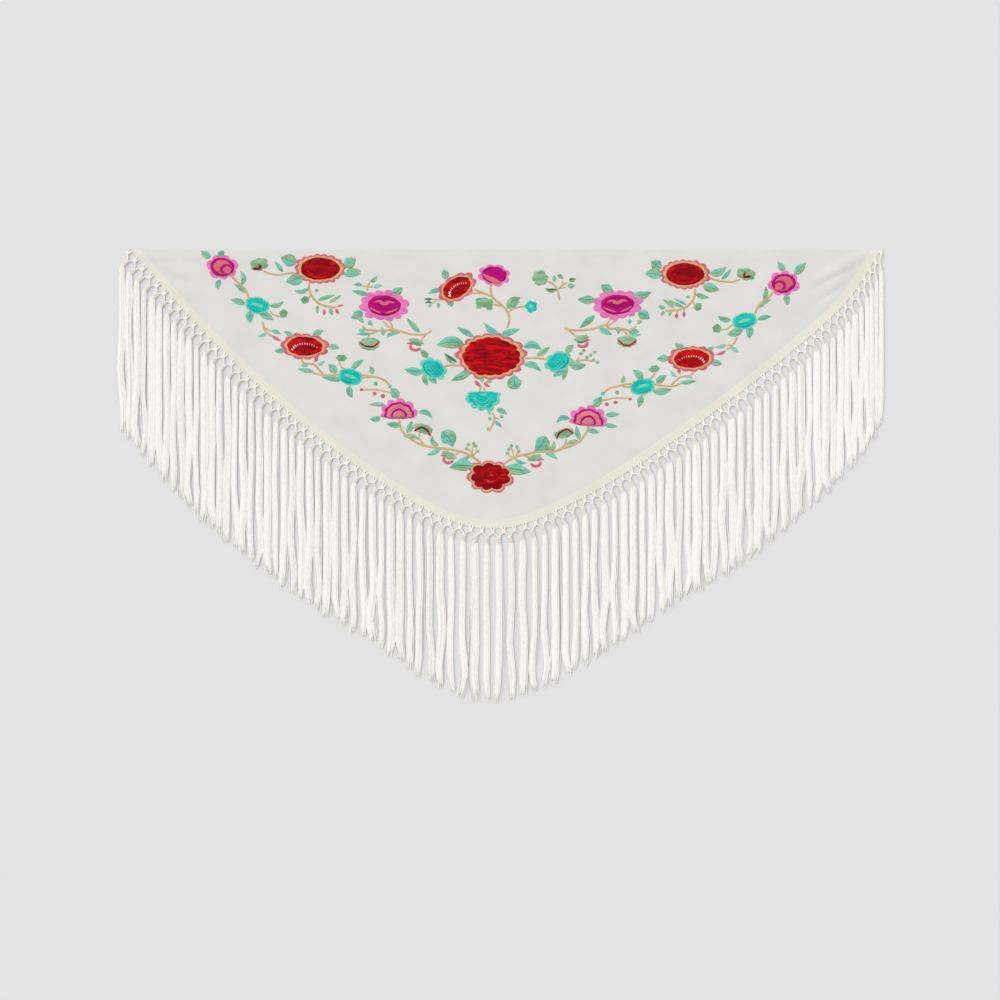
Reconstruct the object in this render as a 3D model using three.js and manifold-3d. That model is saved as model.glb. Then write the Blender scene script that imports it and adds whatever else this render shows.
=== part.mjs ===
// An embroidered triangular flamenco shawl with a knotted silk fringe, laid flat and face up.
// Millimetres. +X runs along the straight top edge, +Y from the rounded point towards that edge,
// +Z up from the surface that the shawl lies on. The origin is under the middle of the whole shawl.
import * as THREE from "three";
import { mergeVertices } from "three/addons/utils/BufferGeometryUtils.js";
import Module from "manifold-3d";

// Driving dimensions
const TOP_EDGE_Y = 464; // the straight top edge
const CLOTH_THICK = 1.2;
const HEM_WIDTH = 18;
const HEM_THICK = 2;
const SEAM = 0.3; // between pieces that are sewn together
const TIP_HEIGHT = 3; // the blunt end of the cloth inside each tip
const TASSELS = 88;
const FRINGE_RUNS = 8;

// Columns of the cloth stand closer together at its tips and round its point than along the slopes
const CLOTH_COLUMNS = 61;
const CLOTH_ROWS = 8;
const COLUMN_CROWDING = 0.7;

// The hem's outer edge, from the left tip round the point to the right tip
const LOWER_EDGE = [
  { x: -760, y: 464 },
  { x: -623, y: 311 },
  { x: -507, y: 195 },
  { x: -385, y: 88 },
  { x: -252, y: -9 },
  { x: -112, y: -88 },
  { x: -30, y: -108 },
  { x: 48, y: -99 },
  { x: 192, y: -33 },
  { x: 331, y: 54 },
  { x: 465, y: 150 },
  { x: 593, y: 250 },
  { x: 715, y: 362 },
  { x: 782, y: 464 },
];

// Soft ripples in the cloth by its two tips: the middle of each ridge, the way it runs and its size
const RIPPLES = [
  { x: -702, y: 447, turn: -20, length: 60, width: 16, height: 2.6 },
  { x: -668, y: 424, turn: -28, length: 66, width: 18, height: 3.4 },
  { x: -662, y: 384, turn: -34, length: 56, width: 16, height: 2.4 },
  { x: -640, y: 345, turn: -42, length: 44, width: 15, height: 1.8 },
  { x: 722, y: 442, turn: 22, length: 58, width: 16, height: 3 },
  { x: 690, y: 424, turn: 27, length: 68, width: 18, height: 3.8 },
  { x: 680, y: 390, turn: 33, length: 56, width: 16, height: 2.8 },
  { x: 668, y: 352, turn: 38, length: 44, width: 15, height: 2 },
];

// How far below the hem's edge the tassels end, at shares of the way round from the left tip
const FRINGE_DROP = [
  { share: 0, drop: 356 },
  { share: 0.12, drop: 364 },
  { share: 0.24, drop: 344 },
  { share: 0.36, drop: 323 },
  { share: 0.485, drop: 352 },
  { share: 0.6, drop: 330 },
  { share: 0.7, drop: 317 },
  { share: 0.78, drop: 338 },
  { share: 0.93, drop: 326 },
  { share: 1, drop: 338 },
];
const DROP_UNEVEN = 4;
const SWAY_UNEVEN = 0.8;

// The net of knotted silk, as distances out from the hem's edge
const END_MARGIN = 0.0015; // the share of the edge between a tip and the post nearest to it
const POST_WIDTH = 5.2; // the bundle that is tied into the hem
const MESH_SIDE = 9; // how far the straight sides of a mesh reach
const MESH_POINT = 15.5; // the foot of a mesh
const MESH_FOOT_WIDTH = 2;
const SPLIT = 14; // the underside of a bundle where it parts
const HEAD_TOP = 19;
const HEAD_FOOT = 30;
const HEAD_WIDTH = 8.4;
const NET_LOW = 0.4;
const NET_THICK = 3.6;
// The net's lean from square to the hem towards straight down, at shares of the way round from the left tip
const NET_DROOP = [
  { share: 0, droop: 0 },
  { share: 0.06, droop: 0.2 },
  { share: 0.88, droop: 0.2 },
  { share: 1, droop: 0.8 },
];

// One lock of a tassel at its root in the knot head, below the bend, and at its loose end
const LOCK_STATIONS = [
  { aside: 1.7, width: 3, thick: 2.8 },
  { aside: 3, width: 5.4, thick: 4.2 },
  { aside: 3.3, width: 5.2, thick: 2.4 },
];
const LOCK_MIDDLE_Z = 2.6;
const LOCK_ROOT = 25; // inside the knot head, from the hem's edge
const BEND_RISE = 4; // how far the silk follows the net's lean past the head
const BEND_FALL = 12; // and then how far down it hangs straight
const FREE_ROOM = 15; // sideways room for a tassel of full width

// Blossoms in padded satin stitch: middle, size, turn in degrees and number of scallops round the rim
const RIM_THICK = 1;
const HEART_THICK = 1.8;
const HEART_SHARE = 0.66;
const HEART_CORNERS = 12;
const SCALLOP_DEPTH = 0.1;
const BLOSSOMS = [
  { name: "rose_tip_left", x: -569.5, y: 428.5, wide: 66, high: 51, turn: -8, scallops: 7 },
  { name: "rose_tip_right", x: 581.7, y: 395, wide: 66, high: 52, turn: 8, scallops: 7 },
  { name: "bluet_upper_left", x: -497.5, y: 350, wide: 53, high: 35, turn: -13, scallops: 6 },
  { name: "bluet_upper_right", x: 501.5, y: 318, wide: 53, high: 35, turn: 12, scallops: 6 },
  { name: "anemone_left", x: -400.5, y: 266, wide: 100, high: 54, turn: -2, scallops: 10 },
  { name: "anemone_right", x: 393, y: 240.5, wide: 100, high: 53, turn: 2, scallops: 10 },
  { name: "bluet_lower_left", x: -307, y: 203.5, wide: 53, high: 36, turn: -12, scallops: 6 },
  { name: "bluet_lower_right", x: 292, y: 183.5, wide: 54, high: 35, turn: 12, scallops: 6 },
  { name: "rose_slope_left", x: -207, y: 138, wide: 80, high: 43, turn: 0, scallops: 8 },
  { name: "rose_slope_right", x: 182, y: 124, wide: 79, high: 45, turn: -5, scallops: 8 },
  { name: "peony_point", x: -20, y: -1, wide: 99, high: 66, turn: 0, scallops: 9 },
  { name: "peony_top_left", x: -369, y: 425, wide: 107, high: 61, turn: 0, scallops: 12 },
  { name: "peony_top_right", x: 379.5, y: 413.7, wide: 105, high: 61, turn: 0, scallops: 12 },
  { name: "rose_left", x: -237.5, y: 349.5, wide: 104, high: 63, turn: -3, scallops: 12 },
  { name: "rose_right", x: 240.5, y: 351.5, wide: 102, high: 60, turn: 3, scallops: 12 },
  { name: "anemone_top", x: -88.6, y: 386, wide: 84, high: 54, turn: 30, scallops: 9 },
  { name: "rose_top", x: -12, y: 412, wide: 66, high: 46, turn: -6, scallops: 8 },
  { name: "peony_middle", x: -18, y: 245, wide: 144, high: 96, turn: 0, scallops: 14 },
  { name: "bluet_middle_left", x: -137, y: 220, wide: 59, high: 43, turn: -25, scallops: 7 },
  { name: "bluet_middle_right", x: 120, y: 234.5, wide: 59, high: 42, turn: 20, scallops: 7 },
  { name: "bluet_middle_below", x: -34, y: 153, wide: 74, high: 42, turn: 0, scallops: 8 },
];

const CREPE = new THREE.MeshStandardMaterial({ color: 0xdedbd2, roughness: 0.85, metalness: 0 });
const HEM_CREPE = new THREE.MeshStandardMaterial({ color: 0xe6e1d4, roughness: 0.85, metalness: 0 });
const FRINGE_SILK = new THREE.MeshStandardMaterial({ color: 0xf2efe4, roughness: 0.5, metalness: 0 });
const THREADS = {
  peony: new THREE.MeshStandardMaterial({ color: 0xb5101f, roughness: 0.45, metalness: 0 }),
  anemone: new THREE.MeshStandardMaterial({ color: 0xcb1426, roughness: 0.45, metalness: 0 }),
  rose: new THREE.MeshStandardMaterial({ color: 0xc42a8e, roughness: 0.45, metalness: 0 }),
  bluet: new THREE.MeshStandardMaterial({ color: 0x2cc6bd, roughness: 0.45, metalness: 0 }),
};

const wasm = await Module();
wasm.setup();

const DEGREE = Math.PI / 180;
const QUARTER = 0.25;
const SIDEWAYS = new THREE.Vector2(1, 0);
const DOWN = new THREE.Vector2(0, -1);
const { clamp, lerp } = THREE.MathUtils;

const lowerEdge = new THREE.CatmullRomCurve3(LOWER_EDGE.map(({ x, y }) => new THREE.Vector3(x, y, 0)));
lowerEdge.arcLengthDivisions = 800;
const EDGE_LENGTH = lowerEdge.getLength();

// A table's value at a share of the way round, between the rows on either side of it
function valueAt(table, column, share) {
  const next = Math.max(1, table.findIndex((row) => row.share >= share));
  const [a, b] = [table[next - 1], table[next]];
  return lerp(a[column], b[column], (share - a.share) / (b.share - a.share));
}

// A point on the hem's outer edge at a share of its length, the way out of the cloth and the way the net lies
function edgeFrame(share) {
  const inside = clamp(share, 0, 1);
  const at = lowerEdge.getPointAt(inside);
  const along = lowerEdge.getTangentAt(inside);
  const out = new THREE.Vector2(along.y, -along.x).normalize();
  const lean = out.clone().lerp(DOWN, valueAt(NET_DROOP, "droop", inside)).normalize();
  return { at: new THREE.Vector2(at.x, at.y), out, lean };
}

// A line inside the hem's outer edge that starts and ends where it comes within clearance of the top edge
function insetLine(inset, clearance) {
  const pointAt = (share) => {
    const { at, out } = edgeFrame(share);
    return at.addScaledVector(out, -inset);
  };
  const crossing = (above, below) => {
    let [near, far] = [above, below];
    while (Math.abs(far - near) > 1e-7) {
      const middle = (near + far) / 2;
      if (pointAt(middle).y > TOP_EDGE_Y - clearance) near = middle;
      else far = middle;
    }
    return far;
  };
  const from = crossing(0, 0.5);
  const to = crossing(1, 0.5);
  return (share) => pointAt(lerp(from, to, share));
}

// How high the ripples lift the cloth
function rippleHeight(x, y) {
  let height = 0;
  for (const ripple of RIPPLES) {
    const way = new THREE.Vector2(x - ripple.x, y - ripple.y);
    way.rotateAround(new THREE.Vector2(), -ripple.turn * DEGREE);
    const fade = Math.max(0, 1 - (way.x / ripple.length) ** 2 - (way.y / ripple.width) ** 2);
    height = Math.max(height, ripple.height * fade * fade);
  }
  return height;
}

// A wall of even thickness over a grid of points, columns from left to right and rows from the foot up
function clothWall(columns, rows, place, thick) {
  const position = [];
  for (const lift of [0, thick]) {
    for (let i = 0; i < columns; i++) {
      for (let j = 0; j < rows; j++) {
        const { x, y } = place(i, j);
        position.push(x, y, rippleHeight(x, y) + lift);
      }
    }
  }
  const index = [];
  const vertex = (layer, i, j) => (layer * columns + i) * rows + j;
  const quad = (a, b, c, d) => index.push(a, b, c, a, c, d);
  const [right, far] = [columns - 1, rows - 1];
  for (let i = 0; i < right; i++) {
    for (let j = 0; j < far; j++) {
      quad(vertex(1, i, j), vertex(1, i + 1, j), vertex(1, i + 1, j + 1), vertex(1, i, j + 1));
      quad(vertex(0, i, j), vertex(0, i, j + 1), vertex(0, i + 1, j + 1), vertex(0, i + 1, j));
    }
    quad(vertex(0, i, 0), vertex(0, i + 1, 0), vertex(1, i + 1, 0), vertex(1, i, 0));
    quad(vertex(0, i, far), vertex(1, i, far), vertex(1, i + 1, far), vertex(0, i + 1, far));
  }
  for (let j = 0; j < far; j++) {
    quad(vertex(0, 0, j), vertex(1, 0, j), vertex(1, 0, j + 1), vertex(0, 0, j + 1));
    quad(vertex(0, right, j), vertex(0, right, j + 1), vertex(1, right, j + 1), vertex(1, right, j));
  }
  return indexedGeometry(position, index);
}

function indexedGeometry(position, index) {
  const geometry = new THREE.BufferGeometry();
  geometry.setAttribute("position", new THREE.Float32BufferAttribute(position, 3));
  geometry.setIndex(index);
  return geometry;
}

function columnShare(i) {
  const even = i / (CLOTH_COLUMNS - 1);
  return even - (COLUMN_CROWDING * Math.sin(4 * Math.PI * even)) / (4 * Math.PI);
}

function groundCloth() {
  const sewingLine = insetLine(HEM_WIDTH + SEAM, TIP_HEIGHT);
  const place = (i, j) => {
    const foot = sewingLine(columnShare(i));
    return { x: foot.x, y: lerp(foot.y, TOP_EDGE_Y, j / (CLOTH_ROWS - 1)) };
  };
  return clothWall(CLOTH_COLUMNS, CLOTH_ROWS, place, CLOTH_THICK);
}

function hemBand() {
  const edges = [insetLine(0, 0), insetLine(HEM_WIDTH, 0)];
  return clothWall(CLOTH_COLUMNS, edges.length, (i, j) => edges[j](columnShare(i)), HEM_THICK);
}

// A closed mesh as a solid that can be joined to others, and such a solid as a mesh again
function solidOf(geometry) {
  const bare = geometry.clone();
  bare.deleteAttribute("normal");
  bare.deleteAttribute("uv");
  const merged = mergeVertices(bare);
  const vertProperties = new Float32Array(merged.attributes.position.array);
  const triVerts = new Uint32Array(merged.index.array);
  return new wasm.Manifold(new wasm.Mesh({ numProp: 3, vertProperties, triVerts }));
}

function geometryOf(solid) {
  const { vertProperties, triVerts } = solid.getMesh();
  return indexedGeometry(Array.from(vertProperties), Array.from(triVerts));
}

function plate(outline, low, thick) {
  const geometry = new THREE.ExtrudeGeometry(new THREE.Shape(outline), { depth: thick, bevelEnabled: false });
  return geometry.translate(0, 0, low);
}

// Posts are numbered from the left tip, and tassel i hangs half-way between posts i and i + 1
const postShare = (post) => lerp(END_MARGIN, 1 - END_MARGIN, post / TASSELS);

function netPoint(post, aside, out) {
  const { at, lean } = edgeFrame(postShare(post) + aside / EDGE_LENGTH);
  return at.addScaledVector(lean, out);
}

// The net of one run: posts tied into the hem, bundles that part from them and meet again under each mesh,
// and the knot heads that the tassels hang from. Its last post belongs to the run beside it, if there is one.
function netOutline(first, end) {
  const half = POST_WIDTH / 2;
  const hemSide = [];
  const floorSide = [netPoint(first, -half, SPLIT)];
  for (let post = first; post < end; post++) {
    const head = post + 0.5;
    if (post > first) hemSide.push(netPoint(post, -half, MESH_SIDE));
    hemSide.push(netPoint(post, -half, SEAM), netPoint(post, half, SEAM), netPoint(post, half, MESH_SIDE));
    for (const side of [-1, 1]) hemSide.push(netPoint(head, (side * MESH_FOOT_WIDTH) / 2, MESH_POINT));
    if (post > first) floorSide.push(netPoint(post, 0, SPLIT));
    floorSide.push(netPoint(head, -HEAD_WIDTH / 2, HEAD_TOP), netPoint(head, -HEAD_WIDTH / 2, HEAD_FOOT));
    floorSide.push(netPoint(head, HEAD_WIDTH / 2, HEAD_FOOT), netPoint(head, HEAD_WIDTH / 2, HEAD_TOP));
  }
  if (end === TASSELS) {
    hemSide.push(netPoint(end, -half, MESH_SIDE), netPoint(end, -half, SEAM), netPoint(end, half, SEAM));
    floorSide.push(netPoint(end, half, SPLIT));
  } else {
    hemSide.push(netPoint(end, -half - SEAM, MESH_SIDE));
    floorSide.push(netPoint(end, -half - SEAM, SPLIT));
  }
  return [...floorSide, ...hemSide.reverse()];
}

// A repeatable unevenness from -1 to 1
function uneven(number, kind) {
  return Math.sin(12.9898 * number + 78.233 * kind) * Math.cos(4.1414 * number + kind);
}

// Where a tassel has bent out of its knot head and hangs straight down
function bendAt(tassel) {
  const { at, lean } = edgeFrame(postShare(tassel + 0.5));
  return at.addScaledVector(lean, HEAD_FOOT + BEND_RISE).addScaledVector(DOWN, BEND_FALL);
}

// One lock of a tassel, in four-sided sections from inside the knot head to the loose end
function lock(tassel, side) {
  const share = postShare(tassel + 0.5);
  const { at, lean } = edgeFrame(share);
  const room = (bendAt(tassel + QUARTER).x - bendAt(tassel - QUARTER).x) / (2 * QUARTER);
  const squeeze = Math.min(1, room / FREE_ROOM);
  const root = at.clone().addScaledVector(lean, LOCK_ROOT);
  const bend = bendAt(tassel);
  const end = new THREE.Vector2(
    bend.x + SWAY_UNEVEN * squeeze * uneven(tassel, 1),
    at.y - valueAt(FRINGE_DROP, "drop", share) - DROP_UNEVEN * uneven(tassel, 2 + side),
  );
  const headSideways = new THREE.Vector2(-lean.y, lean.x);
  const places = [
    { middle: root, sideways: headSideways },
    { middle: bend, sideways: SIDEWAYS },
    { middle: end, sideways: SIDEWAYS },
  ];
  const position = [];
  places.forEach(({ middle, sideways }, k) => {
    const { aside, width, thick } = LOCK_STATIONS[k];
    const corners = [
      { across: -width / 2, up: 0 },
      { across: 0, up: -thick / 2 },
      { across: width / 2, up: 0 },
      { across: 0, up: thick / 2 },
    ];
    for (const { across, up } of corners) {
      const corner = middle.clone().addScaledVector(sideways, squeeze * (side * aside + across));
      position.push(corner.x, corner.y, LOCK_MIDDLE_Z + up);
    }
  });
  const index = [];
  const last = position.length / 3 - 4;
  for (let ring = 0; ring < last; ring += 4) {
    for (let k = 0; k < 4; k++) {
      const [a, b] = [ring + k, ring + ((k + 1) % 4)];
      index.push(a, b, b + 4, a, b + 4, a + 4);
    }
  }
  index.push(0, 2, 1, 0, 3, 2, last, last + 1, last + 2, last, last + 2, last + 3);
  return indexedGeometry(position, index);
}

function fringeRun(first, end) {
  let solid = solidOf(plate(netOutline(first, end), NET_LOW, NET_THICK));
  for (let tassel = first; tassel < end; tassel++) {
    for (const side of [-1, 1]) solid = solid.add(solidOf(lock(tassel, side)));
  }
  return geometryOf(solid);
}

// Corners of an oval whose every third corner is drawn in, where one scallop meets the next
function ovalCorners({ x, y, wide, high, turn }, corners, scale, notch) {
  const points = [];
  for (let k = 0; k < corners; k++) {
    const angle = (2 * Math.PI * k) / corners;
    const reach = scale * (k % 3 === 0 ? 1 - notch : 1);
    const point = new THREE.Vector2((wide / 2) * Math.cos(angle), (high / 2) * Math.sin(angle));
    point.multiplyScalar(reach).rotateAround(new THREE.Vector2(), turn * DEGREE);
    points.push(point.add(new THREE.Vector2(x, y)));
  }
  return points;
}

function blossom(row) {
  const low = CLOTH_THICK + SEAM;
  const rim = solidOf(plate(ovalCorners(row, 3 * row.scallops, 1, SCALLOP_DEPTH), low, RIM_THICK));
  const heart = solidOf(plate(ovalCorners(row, HEART_CORNERS, HEART_SHARE, 0), low, HEART_THICK));
  return geometryOf(rim.add(heart));
}

const shawl = new THREE.Group();
shawl.name = "flamenco_shawl";
function addPiece(name, geometry, material) {
  const mesh = new THREE.Mesh(geometry, material);
  mesh.name = name;
  shawl.add(mesh);
}

addPiece("ground_cloth", groundCloth(), CREPE);
addPiece("hem_band", hemBand(), HEM_CREPE);
for (let run = 0; run < FRINGE_RUNS; run++) {
  const each = TASSELS / FRINGE_RUNS;
  addPiece(`fringe_${run + 1}`, fringeRun(run * each, (run + 1) * each), FRINGE_SILK);
}
for (const row of BLOSSOMS) addPiece(`blossom_${row.name}`, blossom(row), THREADS[row.name.split("_")[0]]);

const reach = new THREE.Box3().setFromObject(shawl);
const middle = reach.getCenter(new THREE.Vector3());
shawl.position.set(-middle.x, -middle.y, -reach.min.z);

export default shawl;
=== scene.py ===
"""An embroidered flamenco shawl, laid flat and face up.

Crepe ground with a doubled hem, a knotted silk fringe and satin-stitch flowers. The tables are in the
shawl's own millimetres: x along its straight top edge, y from its point towards that edge, z up.
"""

import math
from collections import namedtuple

import bmesh
import bpy
import numpy as np
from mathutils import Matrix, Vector


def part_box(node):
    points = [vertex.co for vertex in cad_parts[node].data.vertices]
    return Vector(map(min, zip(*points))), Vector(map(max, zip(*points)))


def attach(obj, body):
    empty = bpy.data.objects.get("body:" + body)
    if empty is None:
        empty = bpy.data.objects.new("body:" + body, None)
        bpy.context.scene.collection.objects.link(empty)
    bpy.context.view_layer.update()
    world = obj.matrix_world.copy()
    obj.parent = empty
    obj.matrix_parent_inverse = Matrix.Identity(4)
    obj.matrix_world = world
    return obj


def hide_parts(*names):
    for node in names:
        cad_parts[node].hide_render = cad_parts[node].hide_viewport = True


bl_info = {
    "name": "Flamenco shawl",
    "version": (1, 0, 0),
    "blender": (4, 5, 0),
    "location": "View3D > Sidebar > Shawl",
    "description": "Makes an embroidered shawl with a knotted silk fringe",
    "category": "Add Mesh",
}

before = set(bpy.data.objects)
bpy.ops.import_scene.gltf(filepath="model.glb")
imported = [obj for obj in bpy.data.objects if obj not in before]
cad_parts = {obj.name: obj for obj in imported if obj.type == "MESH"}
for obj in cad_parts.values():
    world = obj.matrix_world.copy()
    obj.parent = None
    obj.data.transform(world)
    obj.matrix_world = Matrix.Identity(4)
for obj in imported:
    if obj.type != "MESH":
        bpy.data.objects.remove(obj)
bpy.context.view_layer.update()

MM = 0.001
# Where the ground cloth's lowest corner is in the tables' own millimetres
CLOTH_CORNER = (-732.81, -90.13)
CLOTH_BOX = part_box("ground_cloth")
SHIFT = np.array([CLOTH_BOX[0].x / MM - CLOTH_CORNER[0], CLOTH_BOX[0].y / MM - CLOTH_CORNER[1], 0.0])

CLOTH_THICK = 1.2
TOP_EDGE = 464.0
HEM_WIDTH = 18.0
# The share of the hem's width over which it lies on the floor; inside that it overlaps the ground cloth
HEM_FOLD = 0.86
GROUND_FOOT = 15.8  # how far inside the hem's edge the ground cloth begins
GROUND_COLUMNS, GROUND_ROWS = 271, 94
HEM_COLUMNS = 640
HEM_GAP = 0.06  # between the ground cloth and the hem over it
SEAM_INSET, SEAM_HEIGHT = 1.8, 1.75  # from the hem's inner edge to its stitches, and how high they lie
UNDER_DROP = 0.2  # how much lower the underside of a ridge is than the ridge
TASSELS = 88
RUNS = 8
SEED = 7

EDGE_POINTS = [
    (-760, 464), (-623, 311), (-507, 195), (-385, 88), (-252, -9), (-112, -88), (-30, -108),
    (48, -99), (192, -33), (331, 54), (465, 150), (593, 250), (715, 362), (782, 464),
]

# Soft ridges that creases leave in the ironed cloth: each one's middle, the way it runs in degrees, half its
# length and width, and its height
Crease = namedtuple("Crease", "x y turn length width height")
CREASES = [
    Crease(-702, 447, -20, 60, 16, 3.0), Crease(-668, 424, -28, 66, 18, 3.4),
    Crease(-662, 384, -34, 56, 16, 2.4), Crease(-640, 345, -42, 44, 15, 1.8),
    Crease(722, 442, 22, 58, 16, 3.0), Crease(690, 424, 27, 68, 18, 3.8),
    Crease(680, 390, 33, 56, 16, 2.8), Crease(668, 352, 38, 44, 15, 2.0),
    Crease(-19.5, -20, 90, 92, 5, 0.5), Crease(-19, 330, 90, 120, 4, 0.3),
    Crease(-600, 380, -38, 90, 20, 1.3), Crease(-545, 300, -44, 60, 20, 0.7),
    Crease(-640, 452, -24, 80, 12, 1.4), Crease(-455, 160, -42, 80, 18, 0.5),
    Crease(-330, 60, -38, 70, 16, 0.45), Crease(-170, -28, -30, 60, 15, 0.4),
    Crease(95, -45, 25, 60, 14, 0.4), Crease(250, 40, 32, 80, 16, 0.45),
    Crease(430, 160, 38, 76, 18, 0.5), Crease(560, 270, 40, 70, 20, 0.7),
    Crease(640, 330, 40, 50, 18, 0.9), Crease(560, 452, 6, 100, 12, 0.6),
    Crease(240, 456, 2, 80, 9, 0.4), Crease(-235, 455, -3, 70, 9, 0.4),
    Crease(300, 260, 18, 70, 22, 0.35), Crease(-320, 270, -24, 60, 20, 0.35),
    Crease(60, 180, 62, 60, 18, 0.3), Crease(-90, 60, -58, 50, 16, 0.3),
]

Drop = namedtuple("Drop", "share drop")
FRINGE_DROP = [
    Drop(0, 356), Drop(0.12, 364), Drop(0.24, 344), Drop(0.36, 323), Drop(0.485, 352),
    Drop(0.6, 330), Drop(0.7, 317), Drop(0.78, 338), Drop(0.93, 326), Drop(1, 338),
]
# How far the net droops from straight out towards straight down, along the hem
Droop = namedtuple("Droop", "share droop")
NET_DROOP = [Droop(0, 0), Droop(0.06, 0.2), Droop(0.88, 0.2), Droop(1, 0.8)]
END_MARGIN = 0.0015  # the share of the edge between a tip and the post nearest to it
HEAD_TOP = 18.0
HEAD_FOOT = 30.0
TASSEL_ROOT = 26.0  # where a tassel's silk begins, inside its knot head
BEND_RISE = 4.0  # how far the silk follows the net's lean past the head
BEND_FALL = 12.0  # and then how far down it hangs straight
FREE_ROOM = 15.0  # sideways room for a tassel of full width
DROP_UNEVEN = 4.0
SWAY = 6.5
WIDTH_UNEVEN = 0.28
SILK_HEIGHT = 2.6  # of the middle of tassels and net above the floor
STRAYS = 0.025  # the share of strands that lie across their tassel
GOLDEN_ANGLE = 2.39996
CORE_SIDES = 8
CORE_SHORT = 4.0  # how far from a tassel's end its core ends
CORE_TIP = 0.8  # the share of its width that the core has left there
# The net's cords, as places aside along the hem and out from it. Each post is two cords that are tied into
# the hem, and then parts into limbs, each of which runs to the knot head on its side in two plies.
POST_CORD = [(3.0, -3.0), (2.7, 0.5), (1.5, 4.6), (1.7, 10)]
POST_HEIGHTS = [3.0, 3.2, 2.9, 2.7]
LIMB_AT_POST = [(0.6, 8.6), (4.2, 10.8)]
LIMB_AT_HEAD = [(3.9, 12.8), (1.9, 16), (1.6, 21)]
POST_CORD_WIDE, LIMB_PLY_WIDE = 4.2, 2.9
LIMB_TURNS = 2.6
PLY_ASIDE, PLY_RISE = 0.85, 0.8  # how far a ply swings aside, in steps along its limb, and up and down
CORD_POINTS = 24
# Silk wound round a post and round a knot head: how far aside it reaches, where it starts, the length that
# it covers, its turns, how many points it has, its height and how far it rises and falls
Coil = namedtuple("Coil", "reach start length turns points height swell")
POST_COIL = Coil(3.9, 6.4, 3.8, 25 / 8.5, 26, 2.8, 1.6)
HEAD_COIL = Coil(3.7, HEAD_TOP - 1.6, 14.2, 4.6, 52, 3.1, 1.5)
POST_COIL_WIDE, HEAD_COIL_WIDE = 2.1, 2.8

# The hem from its outer edge inwards: the share of its width and how high its upper face is there
Fold = namedtuple("Fold", "share height")
HEM_SECTION = [
    Fold(0, 0.9), Fold(0.015, 1.5), Fold(0.05, 1.8), Fold(0.12, 1.85), Fold(0.3, 1.8), Fold(0.55, 1.75),
    Fold(0.78, 1.7), Fold(0.87, 1.64), Fold(0.9, 1.56), Fold(0.93, 1.6), Fold(0.985, 1.5), Fold(1, 1.36),
]

# The stage: floor, daylight from all round and from one large window, and the camera straight above
FLOOR_REACH = 6.0  # half its width, in metres
FLOOR_CORNERS = [(-1, -1), (1, -1), (1, 1), (-1, 1)]
FLOOR_DEPTH = 0.1  # how far below the shawl it lies
SKY_LIGHT = 0.66
WINDOW_LIGHT = 1.66
WINDOW_ANGLE = 70  # how wide the window looks from the shawl, in degrees
WINDOW_WAY = (0.45, -0.4, -0.8)  # the way its light travels
PICTURE_MIDDLE = -49.2  # the y that the camera stands over
PICTURE_WIDTH = 2050.0
PICTURE_RISE = 2.5  # how high over the floor the picture is that wide
SENSOR = 36  # the width of the camera's film

# The silks, as sRGB: the colour, the tone it is shaded with in long and short stitch, and how strongly
Silk = namedtuple("Silk", "name code shaded amount use")
SILKS = [
    Silk("dusty", "#D96F80", "#BC4D66", 0.5, "dusty pink, the rims of the peonies and anemones"),
    Silk("straw", "#DAB680", "#C39A62", 0.5, "straw, the rings inside those rims"),
    Silk("red", "#D20714", "#72000E", 0.9, "red, the peonies' hearts"),
    Silk("crimson", "#84000E", "#BE0616", 0.75, "crimson, the streaks in the hearts"),
    Silk("pink", "#E982C0", "#D464AA", 0.6, "rose pink, the lobes of the roses"),
    Silk("magenta", "#C40A7C", "#960A60", 0.65, "magenta, the roses' hearts"),
    Silk("plum", "#8A0052", "#8A0052", 0, "plum, lines in the roses' hearts"),
    Silk("salmon", "#D7747C", "#C05A66", 0.4, "salmon, the strokes in the roses' hearts"),
    Silk("rosy", "#DE8992", "#CA6A7A", 0.6, "rosy salmon, the fan-shaped roses"),
    Silk("turquoise", "#16CDC0", "#08AFA8", 0.7, "turquoise, the bluets"),
    Silk("mint", "#84D2BA", "#62BFA4", 0.6, "mint, the bluets' rims and lines"),
    Silk("sea", "#078E88", "#078E88", 0, "sea green, lines in the bluets"),
    Silk("teal", "#80C9B2", "#54A38D", 0.6, "teal, the lighter halves of leaves"),
    Silk("green", "#96C199", "#62996F", 0.6, "green, the darker halves of leaves"),
    Silk("moss", "#80B488", "#5E9570", 0.7, "moss green, the calyxes"),
    Silk("deep", "#467F63", "#467F63", 0, "deep green, the edges of leaves"),
    Silk("tan", "#D6B384", "#C09766", 0.5, "tan, stems"),
    Silk("white", "#F4EEE6", "#F4EEE6", 0, "white, stamens"),
    Silk("blush", "#E6B4A0", "#E6B4A0", 0, "blush, the paler stamens"),
]
LEAF_SILK = {"t": "teal", "g": "green", "m": "mint", "d": "deep"}
# The comb of short stamens in an anemone: their silks, half lengths and widths, and how far they lean along
# the arc that they stand on; the arc and their common foot are in halves of the blossom's size
Stamen = namedtuple("Stamen", "silk reach width lean")
STAMENS = [
    *[Stamen("white", 2.9, 3.2, 1.2)] * 2, Stamen("white", 2.9, 3.2, 0), *[Stamen("white", 2.3, 2.0, 0)] * 5,
    *[Stamen("blush", 2.3, 2.0, 0)] * 4,
]
STAMEN_ARC = [(-0.5, -0.28), (-0.4, -0.04), (-0.2, 0.14), (0.04, 0.18), (0.3, 0.12), (0.5, -0.06)]
STAMEN_FOOT = (0.06, -0.8)

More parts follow.
